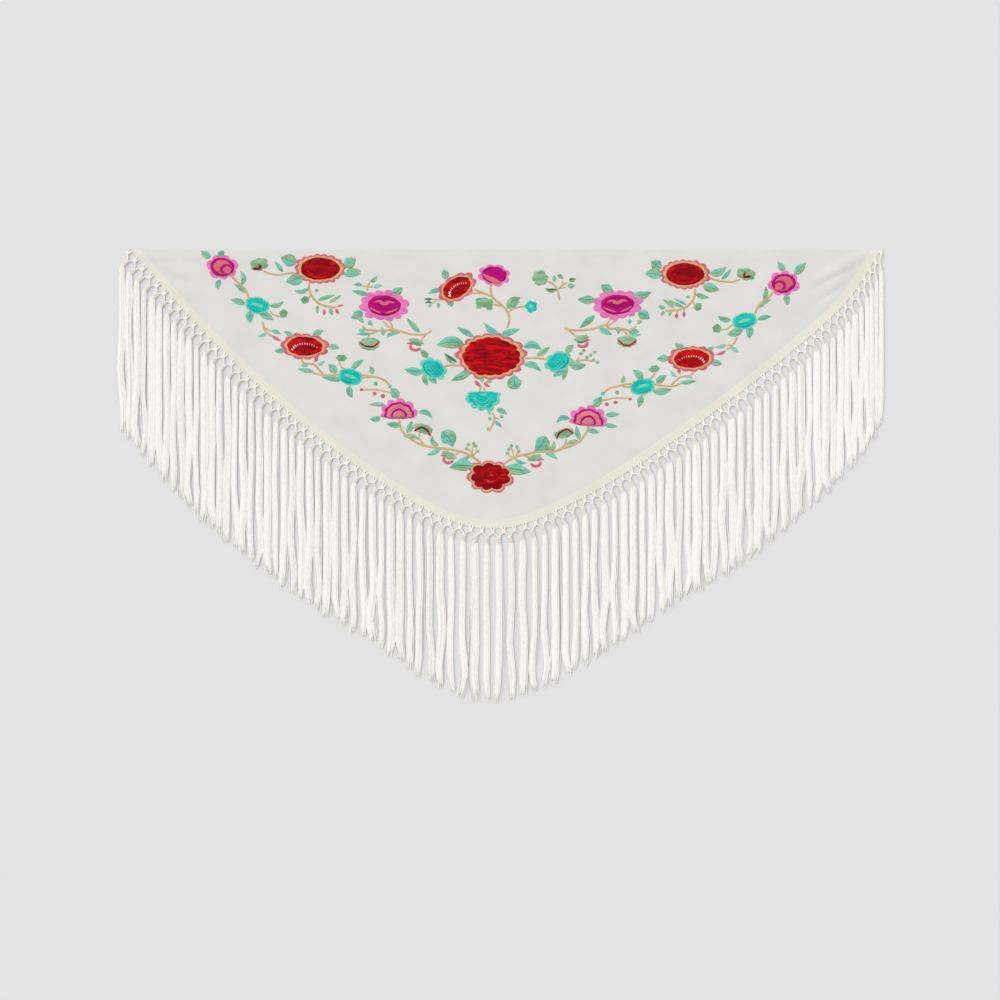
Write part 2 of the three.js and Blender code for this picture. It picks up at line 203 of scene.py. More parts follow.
# Blossoms: middle, size, turn in degrees, scallops round the rim, the zones they are stitched in and the name
Blossom = namedtuple("Blossom", "x y wide high turn scallops zones name", defaults=("",))
BLOSSOMS = [
    Blossom(-569.5, 428.5, 66, 51, -8, 7, "rose_small", "rose_tip_left"),
    Blossom(581.7, 395, 66, 52, 8, 7, "rose_small", "rose_tip_right"),
    Blossom(-497.5, 350, 53, 35, -13, 6, "bluet_cup", "bluet_upper_left"),
    Blossom(501.5, 318, 53, 35, 12, 6, "bluet_cup", "bluet_upper_right"),
    Blossom(-400.5, 266, 100, 54, -2, 11, "anemone", "anemone_left"),
    Blossom(393, 240.5, 100, 53, 2, 11, "anemone", "anemone_right"),
    Blossom(-307, 203.5, 53, 36, -12, 6, "bluet_cup", "bluet_lower_left"),
    Blossom(292, 183.5, 54, 35, 12, 6, "bluet_cup", "bluet_lower_right"),
    Blossom(-207, 138, 80, 43, 0, 9, "rose_fan", "rose_slope_left"),
    Blossom(182, 124, 79, 45, -5, 9, "rose_fan", "rose_slope_right"),
    Blossom(-20, -1, 99, 68, 0, 9, "peony_point", "peony_point"),
    Blossom(-369, 425, 107, 61, 0, 17, "peony_top", "peony_top_left"),
    Blossom(379.5, 413.7, 105, 61, 0, 17, "peony_top", "peony_top_right"),
    Blossom(-237.5, 349.5, 104, 64, -3, 12, "rose_wide", "rose_left"),
    Blossom(240.5, 351.5, 104, 62, 3, 12, "rose_wide", "rose_right"),
    Blossom(-88.6, 386, 84, 54, 30, 9, "anemone", "anemone_top"),
    Blossom(-12, 412, 66, 46, -6, 8, "rose_cup", "rose_top"),
    Blossom(-18, 245, 144, 96, 0, 17, "peony_middle", "peony_middle"),
    Blossom(-137, 220, 60, 44, -25, 7, "bluet", "bluet_middle_left"),
    Blossom(120, 234.5, 60, 43, 20, 7, "bluet", "bluet_middle_right"),
    Blossom(-34, 153, 74, 42, 180, 9, "bluet_fan", "bluet_middle_below"),
]

# Zones of a blossom from its rim inwards: the share of its size where each begins, how deep its scallops
# are cut and its silk. The last one fills the middle.
Zone = namedtuple("Zone", "share notch silk")
ZONES = {
    "peony_middle": [Zone(1, 0.1, "dusty"), Zone(0.9, 0.08, "straw"), Zone(0.82, 0.05, "red")],
    "peony_top": [Zone(1, 0.11, "dusty"), Zone(0.87, 0.07, "straw"), Zone(0.75, 0.015, "crimson")],
    "peony_point": [Zone(1, 0.15, "dusty"), Zone(0.9, 0.15, "straw"), Zone(0.81, 0.13, "crimson")],
    "anemone": [Zone(1, 0.12, "dusty"), Zone(0.83, 0.05, "straw"), Zone(0.73, 0.03, "red")],
    "rose_wide": [Zone(1, 0.16, "pink"), Zone(0.66, 0.03, "magenta")],
    "rose_small": [Zone(1, 0.15, "pink"), Zone(0.76, 0.03, "magenta"), Zone(0.56, 0.0, "salmon")],
    "rose_cup": [Zone(1, 0.16, "pink"), Zone(0.77, 0.05, "magenta")],
    "rose_fan": [
        Zone(1, 0.16, "pink"), Zone(0.79, 0.06, "magenta"), Zone(0.67, 0.05, "rosy"),
        Zone(0.43, 0.02, "magenta"), Zone(0.31, 0, "rosy"),
    ],
    "bluet": [Zone(1, 0.14, "mint"), Zone(0.76, 0.05, "turquoise")],
    "bluet_cup": [Zone(1, 0.06, "mint"), Zone(0.84, 0.03, "turquoise")],
    "bluet_fan": [Zone(1, 0.14, "mint"), Zone(0.84, 0.12, "turquoise")],
    "bud": [Zone(1, 0.11, "green")],
    "calyx": [Zone(1, -0.17, "moss")],
    "berry": [Zone(1, 0, "green")],
    "pink_berry": [Zone(1, 0, "dusty")],
    "red_berry": [Zone(1, 0, "red")],
    "cup": [Zone(1, 0.12, "turquoise"), Zone(0.34, 0, "mint")],
}
# Which part of a fan-shaped blossom's height lies below its widest line
FAN_FOOT = 0.14

# Long stitches over the zones of a blossom: silk, width and points in halves of the blossom's size
Stroke = namedtuple("Stroke", "silk width points")
HEART_STROKES = {
    "peony_middle": [
        Stroke("crimson", 15, [(-0.46, 0.4), (-0.2, 0.56), (0.1, 0.58), (0.4, 0.42)]),
        Stroke("crimson", 9, [(-0.7, 0.12), (-0.46, 0.26), (-0.2, 0.3), (0.04, 0.2)]),
        Stroke("crimson", 13, [(-0.1, 0.16), (0.2, 0.2), (0.48, 0.1), (0.7, -0.08)]),
        Stroke("crimson", 14, [(-0.66, -0.12), (-0.36, -0.06), (0.0, -0.1), (0.3, -0.2)]),
        Stroke("crimson", 10, [(-0.2, -0.34), (0.1, -0.3), (0.4, -0.34), (0.6, -0.3)]),
        Stroke("crimson", 11, [(-0.52, -0.42), (-0.24, -0.44), (0.04, -0.56), (0.3, -0.58)]),
        Stroke("red", 4, [(-0.36, 0.42), (-0.06, 0.46), (0.24, 0.36)]),
        Stroke("red", 4, [(0.06, 0.14), (0.3, 0.1), (0.52, -0.04)]),
        Stroke("red", 3.5, [(-0.54, -0.14), (-0.24, -0.12), (0.08, -0.2)]),
        Stroke("red", 3.5, [(-0.4, -0.4), (-0.14, -0.44), (0.14, -0.5)]),
    ],
    "peony_top": [
        Stroke("red", 6, [(-0.66, 0.06), (-0.6, 0.3), (-0.4, 0.48)]),
        Stroke("red", 4, [(-0.3, 0.54), (0.0, 0.62), (0.3, 0.54)]),
        Stroke("red", 9, [(0.36, 0.44), (0.62, 0.22), (0.7, -0.02)]),
        Stroke("red", 7, [(-0.5, -0.36), (-0.2, -0.54), (0.1, -0.6), (0.36, -0.48)]),
        Stroke("red", 3.4, [(-0.5, -0.06), (-0.4, -0.28), (-0.2, -0.36)]),
        Stroke("red", 4.4, [(0.34, -0.24), (0.5, -0.1), (0.56, 0.1)]),
    ],
    "peony_point": [
        Stroke("red", 6, [(-0.66, 0.1), (-0.5, 0.3), (-0.3, 0.44)]),
        Stroke("red", 5, [(-0.06, 0.5), (0.12, 0.5), (0.3, 0.4)]),
        Stroke("red", 9, [(0.4, 0.1), (0.58, 0.06), (0.74, 0.0)]),
        Stroke("red", 4, [(0.36, 0.3), (0.48, 0.36), (0.58, 0.34)]),
        Stroke("red", 5, [(-0.34, 0.0), (-0.2, 0.2), (0.08, 0.26), (0.32, 0.14)]),
        Stroke("red", 6, [(-0.3, -0.2), (-0.04, -0.34), (0.24, -0.26), (0.38, -0.02)]),
        Stroke("red", 4, [(-0.14, -0.02), (0.04, 0.06), (0.16, -0.04)]),
        Stroke("salmon", 1.6, [(-0.2, -0.18), (-0.02, -0.3), (0.16, -0.28)]),
        Stroke("salmon", 1.4, [(-0.02, 0.12), (0.08, 0.1), (0.12, 0.02)]),
        Stroke("red", 4, [(-0.5, -0.3), (-0.34, -0.42), (-0.2, -0.44)]),
    ],
    "anemone": [
        Stroke("crimson", 9, [(0.1, -0.62), (-0.16, -0.3), (-0.4, -0.24), (-0.56, -0.22)]),
        Stroke("crimson", 9, [(0.1, -0.62), (0.16, -0.3), (0.36, -0.2), (0.56, -0.1)]),
        Stroke("crimson", 12, [(-0.36, -0.12), (-0.1, 0.0), (0.14, 0.0), (0.44, -0.08)]),
        Stroke("crimson", 5, [(0.0, -0.56), (-0.04, -0.2), (-0.02, 0.24)]),
        Stroke("crimson", 5, [(0.08, -0.56), (0.14, -0.2), (0.22, 0.22)]),
        Stroke("crimson", 3.6, [(-0.06, -0.3), (-0.22, 0.04), (-0.3, 0.3)]),
        Stroke("crimson", 3.6, [(0.16, -0.3), (0.34, 0.0), (0.48, 0.16)]),
        Stroke("crimson", 4, [(-0.3, -0.3), (-0.48, -0.14), (-0.6, 0.0)]),
    ],
    "rose_wide": [
        Stroke("salmon", 6, [(-0.4, 0.2), (-0.2, 0.26), (0.02, 0.16)]),
        Stroke("salmon", 6, [(0.4, 0.2), (0.2, 0.26), (-0.02, 0.16)]),
        Stroke("salmon", 6, [(-0.2, 0.16), (0.0, 0.08), (0.2, 0.16)]),
        Stroke("salmon", 4.4, [(-0.57, -0.16), (-0.34, -0.36), (-0.1, -0.5)]),
        Stroke("salmon", 4.4, [(0.57, -0.12), (0.34, -0.32), (0.06, -0.5)]),
        Stroke("plum", 2.2, [(-0.56, 0.06), (-0.36, 0.36), (0.0, 0.45), (0.36, 0.36), (0.56, 0.06)]),
        Stroke("plum", 2.2, [(-0.44, 0.0), (-0.2, 0.04), (0.0, -0.24), (0.2, 0.04), (0.44, 0.0)]),
        Stroke("plum", 2.0, [(-0.5, -0.34), (-0.2, -0.56), (0.2, -0.56), (0.5, -0.34)]),
    ],
    "rose_small": [
        Stroke("magenta", 7, [(0.56, 0.04), (0.3, 0.2), (0.04, 0.1), (-0.08, -0.16), (0.12, -0.46)]),
        Stroke("magenta", 8, [(0.24, 0.14), (0.02, -0.02), (-0.02, -0.3), (0.2, -0.44)]),
        Stroke("salmon", 14, [(0.22, -0.3), (0.4, -0.26), (0.58, -0.24)]),
        Stroke("magenta", 6, [(-0.5, -0.24), (-0.24, -0.58), (0.06, -0.66)]),
    ],
    "rose_cup": [
        Stroke("salmon", 11, [(-0.7, 0.0), (-0.36, -0.26), (0.04, -0.42), (0.5, -0.7)]),
        Stroke("salmon", 7, [(-0.36, -0.4), (0.0, -0.56), (0.4, -0.7)]),
        Stroke("plum", 2.4, [(-0.66, 0.1), (-0.5, 0.46), (-0.1, 0.6)]),
        Stroke("plum", 3.0, [(0.66, 0.5), (0.72, 0.1), (0.6, -0.4)]),
    ],
    "bluet": [
        Stroke("mint", 1.5, [(-0.62, 0.36), (-0.54, -0.1), (-0.2, -0.44), (0.26, -0.62)]),
        Stroke("mint", 1.4, [(-0.44, 0.44), (-0.36, 0.06), (-0.06, -0.24), (0.36, -0.42)]),
        Stroke("mint", 1.3, [(-0.26, 0.46), (-0.18, 0.16), (0.1, -0.06), (0.48, -0.2)]),
        Stroke("teal", 1.3, [(-0.04, 0.46), (0.04, 0.2), (0.3, 0.1), (0.54, 0.04)]),
        Stroke("sea", 1.6, [(-0.72, 0.1), (-0.6, -0.3), (-0.3, -0.6), (0.1, -0.74)]),
        Stroke("sea", 1.2, [(-0.06, 0.6), (0.24, 0.5), (0.5, 0.3)]),
    ],
    "bluet_cup": [
        Stroke("mint", 10, [(-0.46, 0.02), (-0.1, 0.06), (0.16, 0.02), (0.48, 0.0)]),
        Stroke("sea", 0.9, [(-0.46, 0.02), (-0.18, 0.28), (0.16, 0.28), (0.48, 0.0)]),
        Stroke("sea", 0.9, [(-0.46, 0.02), (-0.14, -0.24), (0.2, -0.24), (0.48, 0.0)]),
        Stroke("sea", 0.8, [(-0.34, 0.02), (0.0, 0.02), (0.38, 0.0)]),
        Stroke("sea", 1.3, [(-0.62, -0.4), (-0.2, -0.68), (0.4, -0.6)]),
    ],
    "bluet_fan": [
        Stroke("mint", 2.6, [(0.5, -0.5), (0.3, 0.0), (0.06, 0.12), (-0.16, 0.02), (-0.4, -0.5)]),
        Stroke("mint", 2.4, [(0.58, -0.4), (0.3, 0.3), (0.04, 0.58), (-0.22, 0.32), (-0.5, -0.36)]),
        Stroke("sea", 1.0, [(0.4, -0.6), (0.22, -0.22), (0.04, -0.14), (-0.12, -0.22), (-0.3, -0.6)]),
        Stroke("mint", 5, [(-0.24, -0.74), (0.02, -0.66), (0.26, -0.74)]),
        Stroke("mint", 5, [(0.92, -0.6), (0.86, -0.3), (0.8, -0.06)]),
    ],
}

# Leaves: base, tip, width, the silks of the upper and lower half, and how far the leaf bows to its left.
# Both halves of a "pp" leaf are dusty pink.
Leaf = namedtuple("Leaf", "x y tip_x tip_y width halves bow", defaults=("tg", None))
LEAVES = [
    # round the left tip
    Leaf(-593, 447, -613, 462, 13), Leaf(-577, 450, -567, 462.5, 13, "tt"),
    Leaf(-573, 403, -578, 381, 10, "tg", -0.15), Leaf(-530, 391, -532, 421, 9, "tg", -0.2),
    Leaf(-521, 375, -545, 395, 8), Leaf(-523, 353, -552, 362, 12, "gt"),
    Leaf(-472, 349, -443, 358, 9, "tg", -0.12), Leaf(-512, 339, -512, 314, 15, "tt"),
    Leaf(-494, 335, -464, 320, 13, "gt"), Leaf(-468, 288, -448, 277, 6, "pp"),
    Leaf(-469, 298, -449, 291, 8, "tt"), Leaf(-479, 292, -496, 285, 7, "mm"),
    Leaf(-445, 418, -463, 441, 8, "tt"),
    # round the left top peony
    Leaf(-418, 436, -450, 448, 22, "gt"), Leaf(-404, 409, -439, 399, 22, "gt"),
    Leaf(-319, 430, -296, 446, 20), Leaf(-316, 421, -284, 420, 9, "gg"), Leaf(-322, 414, -285, 415, 11, "tt"),
    Leaf(-392, 384, -423, 381, 8, "tg", 0.16), Leaf(-374, 360, -338, 371, 8),
    Leaf(-351, 355, -325, 371, 6, "gg"), Leaf(-373, 350, -374, 333, 6, "gg"),
    Leaf(-361, 342, -361, 329, 6, "pp"), Leaf(-347, 344, -343, 330, 7, "gg"),
    Leaf(-335, 348, -320, 352, 4, "pp"), Leaf(-337, 343, -330, 332, 6, "pp"),
    # round the left rose
    Leaf(-283, 391, -300, 393, 7.5, "tt"), Leaf(-266, 398, -252, 410, 8, "gg"),
    Leaf(-260, 387, -242, 391, 8, "mm"), Leaf(-269, 371, -304, 380, 10, "tt"), Leaf(-222, 375, -200, 386, 15),
    Leaf(-281, 336, -305, 324, 16), Leaf(-290, 324, -280, 313, 8, "gg"),
    Leaf(-270, 319, -261, 309, 8.5, "tt"), Leaf(-277, 297, -291, 299, 7, "mm"),
    Leaf(-263, 292, -296, 291, 6, "tt"), Leaf(-215, 299, -233, 288, 6, "gg"),
    Leaf(-204, 295, -234, 283, 7, "tt"), Leaf(-164, 294, -191, 324, 10), Leaf(-241, 288, -243, 306, 8, "tt"),
    Leaf(-188, 280, -155, 270, 8, "gg"), Leaf(-180, 275, -162, 268, 6, "dd"),
    # round the top anemone and rose
    Leaf(-112, 403, -115, 424, 14), Leaf(-122, 384, -148, 374, 9, "tt"), Leaf(-106, 361, -99, 347, 12),
    Leaf(-127, 356, -127, 343, 6, "gg"), Leaf(-139, 363, -156, 363, 5, "dd"),
    Leaf(-139, 355, -155, 355, 4, "dd"), Leaf(-141, 352, -148, 348, 6, "gg"),
    Leaf(15, 343, 42, 366, 15, "gg"), Leaf(16, 343, 42, 360, 5, "tt"), Leaf(117, 382, 92, 384, 8, "dg"),
    Leaf(111, 398, 111, 412, 7, "gg"), Leaf(117, 412, 130, 405, 8, "gg"), Leaf(141, 402, 156, 404, 8, "dg"),
    Leaf(138, 392, 154, 390, 9, "gg"),
    # round the middle peony
    Leaf(-54, 285, -88, 305, 11, "tt"), Leaf(-1, 287, -33, 314, 12, "tt"), Leaf(1, 287, 40, 301, 13, "tt"),
    Leaf(-75, 272, -130, 269, 22), Leaf(-88, 233, -114, 252, 11, "dg"), Leaf(-59, 217, -100, 196, 14),
    Leaf(48, 264, 85, 259, 14, "tt", 0.22), Leaf(47, 229, 84, 215, 12, "tt", 0.15),
    Leaf(29, 209, 35, 179, 28, "gt"), Leaf(75, 246, 102, 265, 10, "gg"), Leaf(-37, 206, -37, 191, 9, "gg"),
    Leaf(-29, 194, -15, 193, 6, "gg"), Leaf(-52, 196, -37, 182, 7, "pp"), Leaf(-33, 193, -20, 183, 6, "pp"),
    Leaf(-149, 242, -163, 259, 12, "gg"), Leaf(-159, 211, -196, 219, 15, "tt"),
    Leaf(-155, 209, -148, 184, 10, "gg"), Leaf(-146, 207, -130, 189, 13, "tt"),
    Leaf(134, 254, 151, 269, 12, "gg"), Leaf(142, 229, 177, 228, 15), Leaf(137, 223, 129, 196, 10, "gg"),
    Leaf(130, 220, 109, 204, 13, "tt"), Leaf(-7, 137, 15, 127, 10), Leaf(-12, 114, 5, 99, 7, "tt"),
    # the left slope
    Leaf(-425, 286, -443, 296, 9), Leaf(-384, 287, -362, 298, 12), Leaf(-440, 260, -463, 256, 10),
    Leaf(-352, 264, -329, 262, 11), Leaf(-374, 244, -381, 234, 7, "pp"), Leaf(-373, 227, -359, 237, 7, "mm"),
    Leaf(-408, 228, -393, 226, 6, "mm"), Leaf(-382, 214, -415, 220, 9), Leaf(-335, 211, -352, 230, 14),
    Leaf(-305, 219, -280, 238, 11), Leaf(-328, 195, -366, 203, 11, "gt"), Leaf(-309, 184, -303, 160, 12),
    Leaf(-262, 208, -267, 226, 9, "gg"), Leaf(-210, 159, -224, 180, 16, "gt"), Leaf(-235, 146, -269, 147, 8),
    Leaf(-245, 120, -267, 117, 11), Leaf(-202, 103, -233, 107, 11), Leaf(-192, 89, -181, 114, 12),
    Leaf(-167, 131, -139, 118, 10, "tt", 0.2), Leaf(-198, 82, -163, 74, 8, "gg"),
    Leaf(-126, 62, -139, 83, 9, "gg", 0.25), Leaf(-96, 58, -119, 90, 27.5, "gt"),
    Leaf(-122, 55, -150, 43, 9, "tt"), Leaf(-119, 46, -88, 37, 9, "gg"), Leaf(-60, 41, -87, 31, 7, "tt"),
    Leaf(-54, 20, -104, 17, 20),
    # the right slope
    Leaf(12, 18, 63, 9, 20), Leaf(30, 36, 55, 26, 7, "tt"), Leaf(56, 32, 87, 38, 9, "gg"),
    Leaf(69, 50, 93, 81, 27.5, "gt"), Leaf(91, 48, 118, 34, 9, "tt"), Leaf(95, 52, 111, 72, 9, "gg", -0.25),
    Leaf(165, 70, 133, 64, 8, "gg"), Leaf(143, 118, 115, 109, 10, "tt", -0.2), Leaf(216, 125, 246, 127, 10),
    Leaf(214, 105, 241, 101, 9), Leaf(179, 96, 204, 89, 10), Leaf(163, 74, 156, 103, 10),
    Leaf(191, 143, 208, 163, 15), Leaf(250, 190, 254, 206, 8, "gg"), Leaf(293, 200, 273, 218, 14),
    Leaf(321, 190, 341, 207, 13), Leaf(313, 174, 352, 178, 13, "gt"), Leaf(291, 166, 284, 141, 12),
    Leaf(370, 191, 403, 195, 8), Leaf(350, 215, 362, 203, 7, "mm"), Leaf(381, 204, 396, 200, 6, "mm"),
    Leaf(366, 220, 369, 209, 7, "pp"), Leaf(380, 261, 359, 273, 12), Leaf(346, 243, 322, 240, 13),
    Leaf(422, 256, 439, 266, 9), Leaf(432, 232, 455, 229, 12), Leaf(463, 257, 441, 249, 6, "pp"),
    Leaf(464, 269, 441, 264, 7, "tt"), Leaf(474, 264, 490, 254, 8, "mm"),
    # round the right tip
    Leaf(474, 320, 446, 328, 10, "gt", 0.12), Leaf(528, 321, 557, 327, 10, "tt"),
    Leaf(515, 307, 511, 282, 14, "tt"), Leaf(498, 304, 465, 290, 15, "gt"), Leaf(540, 361, 545, 389, 9),
    Leaf(529, 344, 556, 362, 9), Leaf(582, 419, 570, 439, 12), Leaf(604, 413, 627, 437, 15),
    Leaf(585, 371, 589, 350, 12),
    # round the right top peony
    Leaf(330, 425, 310, 440, 20), Leaf(333, 411, 297, 414, 19, "gt"), Leaf(430, 415, 464, 429, 14),
    Leaf(416, 390, 449, 382, 17), Leaf(454, 403, 474, 425, 8, "tt"), Leaf(401, 373, 429, 366, 9, "gg"),
    Leaf(357, 345, 334, 362, 7, "gg"), Leaf(376, 346, 345, 362, 7, "gg"), Leaf(382, 351, 356, 363, 6, "tt"),
    Leaf(339, 344, 324, 349, 7), Leaf(338, 338, 331, 328, 7), Leaf(350, 339, 346, 327, 6),
    Leaf(363, 334, 363, 322, 6, "pp"), Leaf(377, 337, 377, 325, 6, "pp"),
    # round the right rose
    Leaf(231, 379, 207, 392, 17), Leaf(195, 362, 159, 362, 15), Leaf(272, 372, 310, 377, 15),
    Leaf(283, 335, 306, 322, 18), Leaf(291, 320, 280, 311, 7, "gg"), Leaf(265, 322, 265, 311, 8, "tt"),
    Leaf(194, 329, 163, 303, 12), Leaf(204, 303, 230, 290, 11, "tt"), Leaf(240, 306, 242, 291, 9, "tt"),
    Leaf(270, 300, 286, 295, 8, "tt"), Leaf(263, 296, 290, 290, 7, "tt"), Leaf(151, 279, 184, 286, 9, "gg"),
    Leaf(158, 274, 178, 277, 6, "dd"),
]

# The pieces that the leaves are joined in, by where a leaf begins
LEAF_PIECES = [("left", -900, -190), ("middle", -190, 190), ("right", 190, 900)]

# Stems in twisted tan silk: width and the points they pass
Stem = namedtuple("Stem", "width points")
STEMS = [
    Stem(4, [(-554, 417), (-546, 405), (-531, 391), (-520, 378), (-515, 363)]),
    Stem(2.6, [(-472, 338), (-465, 331), (-452, 327)]),
    Stem(4, [(-487, 316), (-484, 304), (-478, 294), (-469, 287)]),
    Stem(2.4, [(-481, 303), (-468, 296)]),
    Stem(3.4, [(-485, 420), (-469, 414), (-450, 413), (-423, 418)]),
    Stem(4, [(-391, 399), (-392, 385), (-387, 371), (-378, 359), (-368, 352), (-349, 347), (-337, 346)]),
    Stem(2.6, [(-387.3, 372.5), (-390.5, 368), (-394, 363)]),
    Stem(3, [(-272, 380), (-273, 387), (-283, 390)]), Stem(3, [(-273, 387), (-267, 397)]),
    Stem(3, [(-273, 387), (-261, 388)]),
    Stem(3, [(-241, 318), (-222, 300)]), Stem(3, [(-228, 322), (-218, 300)]),
    Stem(3.6, [(-282, 307), (-276, 301), (-263, 299), (-239, 298), (-218, 300), (-202, 296), (-184, 291),
               (-160, 290), (-151, 292), (-140, 299)]),
    Stem(3, [(-151, 291), (-166, 274)]), Stem(3, [(-250, 297), (-267, 290), (-272, 281)]),
    Stem(2.6, [(-122, 361), (-140, 363)]), Stem(2.6, [(-130, 360), (-141, 353)]),
    Stem(3.6, [(-54, 383), (-31, 374), (-17, 368)]), Stem(3.2, [(-64, 375), (-40, 375), (-31, 374)]),
    Stem(3.6, [(-19, 393), (-19, 378), (-17, 368)]),
    Stem(4, [(-17, 368), (-7, 359), (6, 348), (15, 337), (19, 325), (18, 313), (13, 303)]),
    Stem(3.2, [(6, 348), (-3, 350), (-18, 353)]), Stem(3.2, [(17, 337), (32, 345), (52, 348)]),
    Stem(3.4, [(96, 400), (109, 393), (117, 383), (122, 361)]),
    Stem(2.6, [(118, 383), (130, 393), (138, 397)]), Stem(2.4, [(130, 393), (127, 398)]),
    Stem(2.4, [(120, 384), (134, 387)]),
    Stem(3.4, [(-120, 223), (-101, 227), (-77, 226)]), Stem(3.4, [(51, 241), (71, 242), (101, 239)]),
    Stem(3.4, [(-40, 182), (-44, 169)]), Stem(3.4, [(-34, 182), (-29, 172), (-17, 164)]),
    Stem(3.2, [(139, 235), (156, 235), (174, 238), (191, 235)]), Stem(2.6, [(156, 236), (163, 243)]),
    Stem(3.4, [(-16, 131), (-12, 120), (-14, 108), (-23, 92)]), Stem(2.6, [(-12, 120), (-3, 117)]),
    Stem(3.6, [(-407, 242), (-403, 232), (-382, 229), (-373, 220), (-362, 208)]),
    Stem(3.4, [(-384, 211), (-362, 207), (-327, 208)]),
    Stem(2.6, [(-315, 219), (-325, 223), (-329, 234)]),
    Stem(3.6, [(-289, 208), (-268, 205), (-250, 202), (-235, 195), (-225, 185)]),
    Stem(2.6, [(-284, 201), (-261, 203)]),
    Stem(3, [(-223, 170), (-237, 174), (-255, 177), (-281, 177)]),
    Stem(4.2, [(-207, 115), (-205, 103), (-198, 89), (-184, 77), (-165, 66), (-150, 61), (-130, 58),
               (-104, 55), (-77, 49), (-58, 40), (-39, 27)]),
    Stem(3, [(-157, 65), (-165, 77), (-165, 89)]), Stem(3, [(-85, 47), (-96, 42)]),
    Stem(2.2, [(-56, 41), (-60, 50), (-68, 56)]), Stem(2.2, [(-56, 41), (-57, 56), (-53, 66)]),
    Stem(2.2, [(-56, 41), (-50, 48), (-46, 51)]),
    Stem(4.2, [(4, 22), (12, 28), (26, 36), (37, 41), (53, 44), (72, 49), (94, 50), (114, 51), (129, 57),
               (146, 62), (164, 72), (174, 85), (177, 88), (181, 102)]),
    Stem(2.2, [(28, 37), (18, 42), (15, 47)]), Stem(2.2, [(28, 37), (26, 50), (22, 60)]),
    Stem(2.2, [(28, 37), (36, 48), (36, 57)]), Stem(3, [(51, 41), (64, 37)]),
    Stem(3, [(125, 57), (133, 65), (136, 77)]),
    Stem(3.6, [(213, 172), (225, 180), (242, 184), (258, 188), (275, 189)]),
    Stem(2.6, [(271, 182), (251, 183)]),
    Stem(3, [(207, 154), (221, 157), (234, 160), (264, 159)]),
    Stem(2.6, [(301, 197), (312, 203), (318, 213)]),
    Stem(3.4, [(316, 188), (334, 185), (351, 184), (358, 185), (371, 190)]),
    Stem(3.4, [(351, 187), (361, 196), (370, 203), (391, 207), (398, 215)]),
    Stem(3.6, [(464, 259), (474, 266), (481, 274), (486, 285)]), Stem(2.4, [(474, 269), (464, 268)]),
    Stem(2.8, [(477, 311), (466, 302), (453, 299)]),
    Stem(4, [(523, 333), (528, 345), (540, 359), (553, 369), (564, 383)]),
    Stem(3.4, [(432, 405), (451, 400), (474, 398), (493, 403)]),
    Stem(4, [(400, 384), (399, 370), (394, 359), (382, 347), (367, 341), (339, 339)]),
    Stem(2.6, [(394, 358), (400, 350)]), Stem(2.2, [(363, 340), (363, 334)]),
    Stem(2.2, [(377, 343), (377, 336)]),
    Stem(3, [(228, 327), (218, 310)]), Stem(3, [(239, 320), (220, 307)]),
    Stem(3.6, [(132, 303), (150, 299), (173, 299), (196, 303), (217, 309), (222, 303), (250, 302),
               (270, 297)]),
    Stem(2.8, [(268, 301), (280, 307)]), Stem(3, [(248, 301), (259, 292), (265, 282)]),
    Stem(3, [(139, 300), (150, 291), (160, 283)]),
]

# Buds and berries, in the same columns as the blossoms
BUDS = [
    Blossom(-494, 434, 40, 28, 12, 6, "bud"), Blossom(-268, 271, 46, 28, 0, 9, "bud"),
    Blossom(-32, 356, 40, 22, -6, 6, "bud"), Blossom(-22, 345, 16, 13, 0, 4, "bud"),
    Blossom(64, 347.5, 27, 26, 0, 5, "cup"), Blossom(-43, 349, 14, 14, 0, 4, "bud"),
    Blossom(82, 406, 34, 32, -20, 6, "bud"), Blossom(-157, 97, 43, 21, -16, 8, "bud"),
    Blossom(131, 87.5, 45, 21, 14, 8, "bud"), Blossom(260, 276, 43, 25, 0, 8, "bud"),
    Blossom(504, 414, 42, 26, -10, 6, "bud"), Blossom(81, 401, 17, 10, 0, 5, "red_berry"),
    Blossom(-172, 274, 30, 13, -22, 5, "bud"), Blossom(-106, 45, 30, 13, -20, 5, "bud"),
    Blossom(168, 281, 30, 13, 22, 5, "bud"), Blossom(72, 37, 30, 13, 20, 5, "bud"),
    Blossom(-444, 333, 17, 17, 20, 5, "calyx"), Blossom(444.5, 302.5, 17, 18, 160, 5, "calyx"),
    Blossom(-325, 242, 22, 14, 0, 6, "calyx"), Blossom(316.5, 219.5, 22, 14, 8, 6, "calyx"),
    Blossom(-399.5, 361, 17, 15, 30, 5, "calyx"), Blossom(406, 347, 17, 15, 40, 5, "calyx"),
    Blossom(-226, 184, 9, 9, 0, 5, "cup"), Blossom(211, 169, 9, 9, 0, 5, "cup"),
    Blossom(-376, 380, 9, 8, 0, 5, "berry"), Blossom(385, 367, 9, 7, 0, 5, "berry"),
    Blossom(-284, 177, 8, 7, 0, 5, "pink_berry"), Blossom(-257, 169, 9, 8, 0, 5, "pink_berry"),
    Blossom(-240, 164, 10, 9, 0, 5, "pink_berry"), Blossom(-255, 189, 10, 9, 0, 5, "berry"),
    Blossom(267, 158, 8, 6, 0, 5, "pink_berry"), Blossom(237, 151, 10, 7, 0, 5, "pink_berry"),
    Blossom(219, 147, 9, 8, 0, 5, "pink_berry"), Blossom(240, 171, 9, 9, 0, 5, "berry"),
]
BERRY_SIZE = 7.8
BERRIES = [
    (166, 251), (172, 257), (178, 243), (186, 248), (194, 254), (192, 238), (200, 233),
    (-69, 56), (-65, 64), (-54, 67), (-50, 61), (-46, 51), (15, 47), (18, 55), (23, 62), (35, 59), (38, 51),
    (-22, 129), (-21, 117), (-24, 96), (3, 122),
]
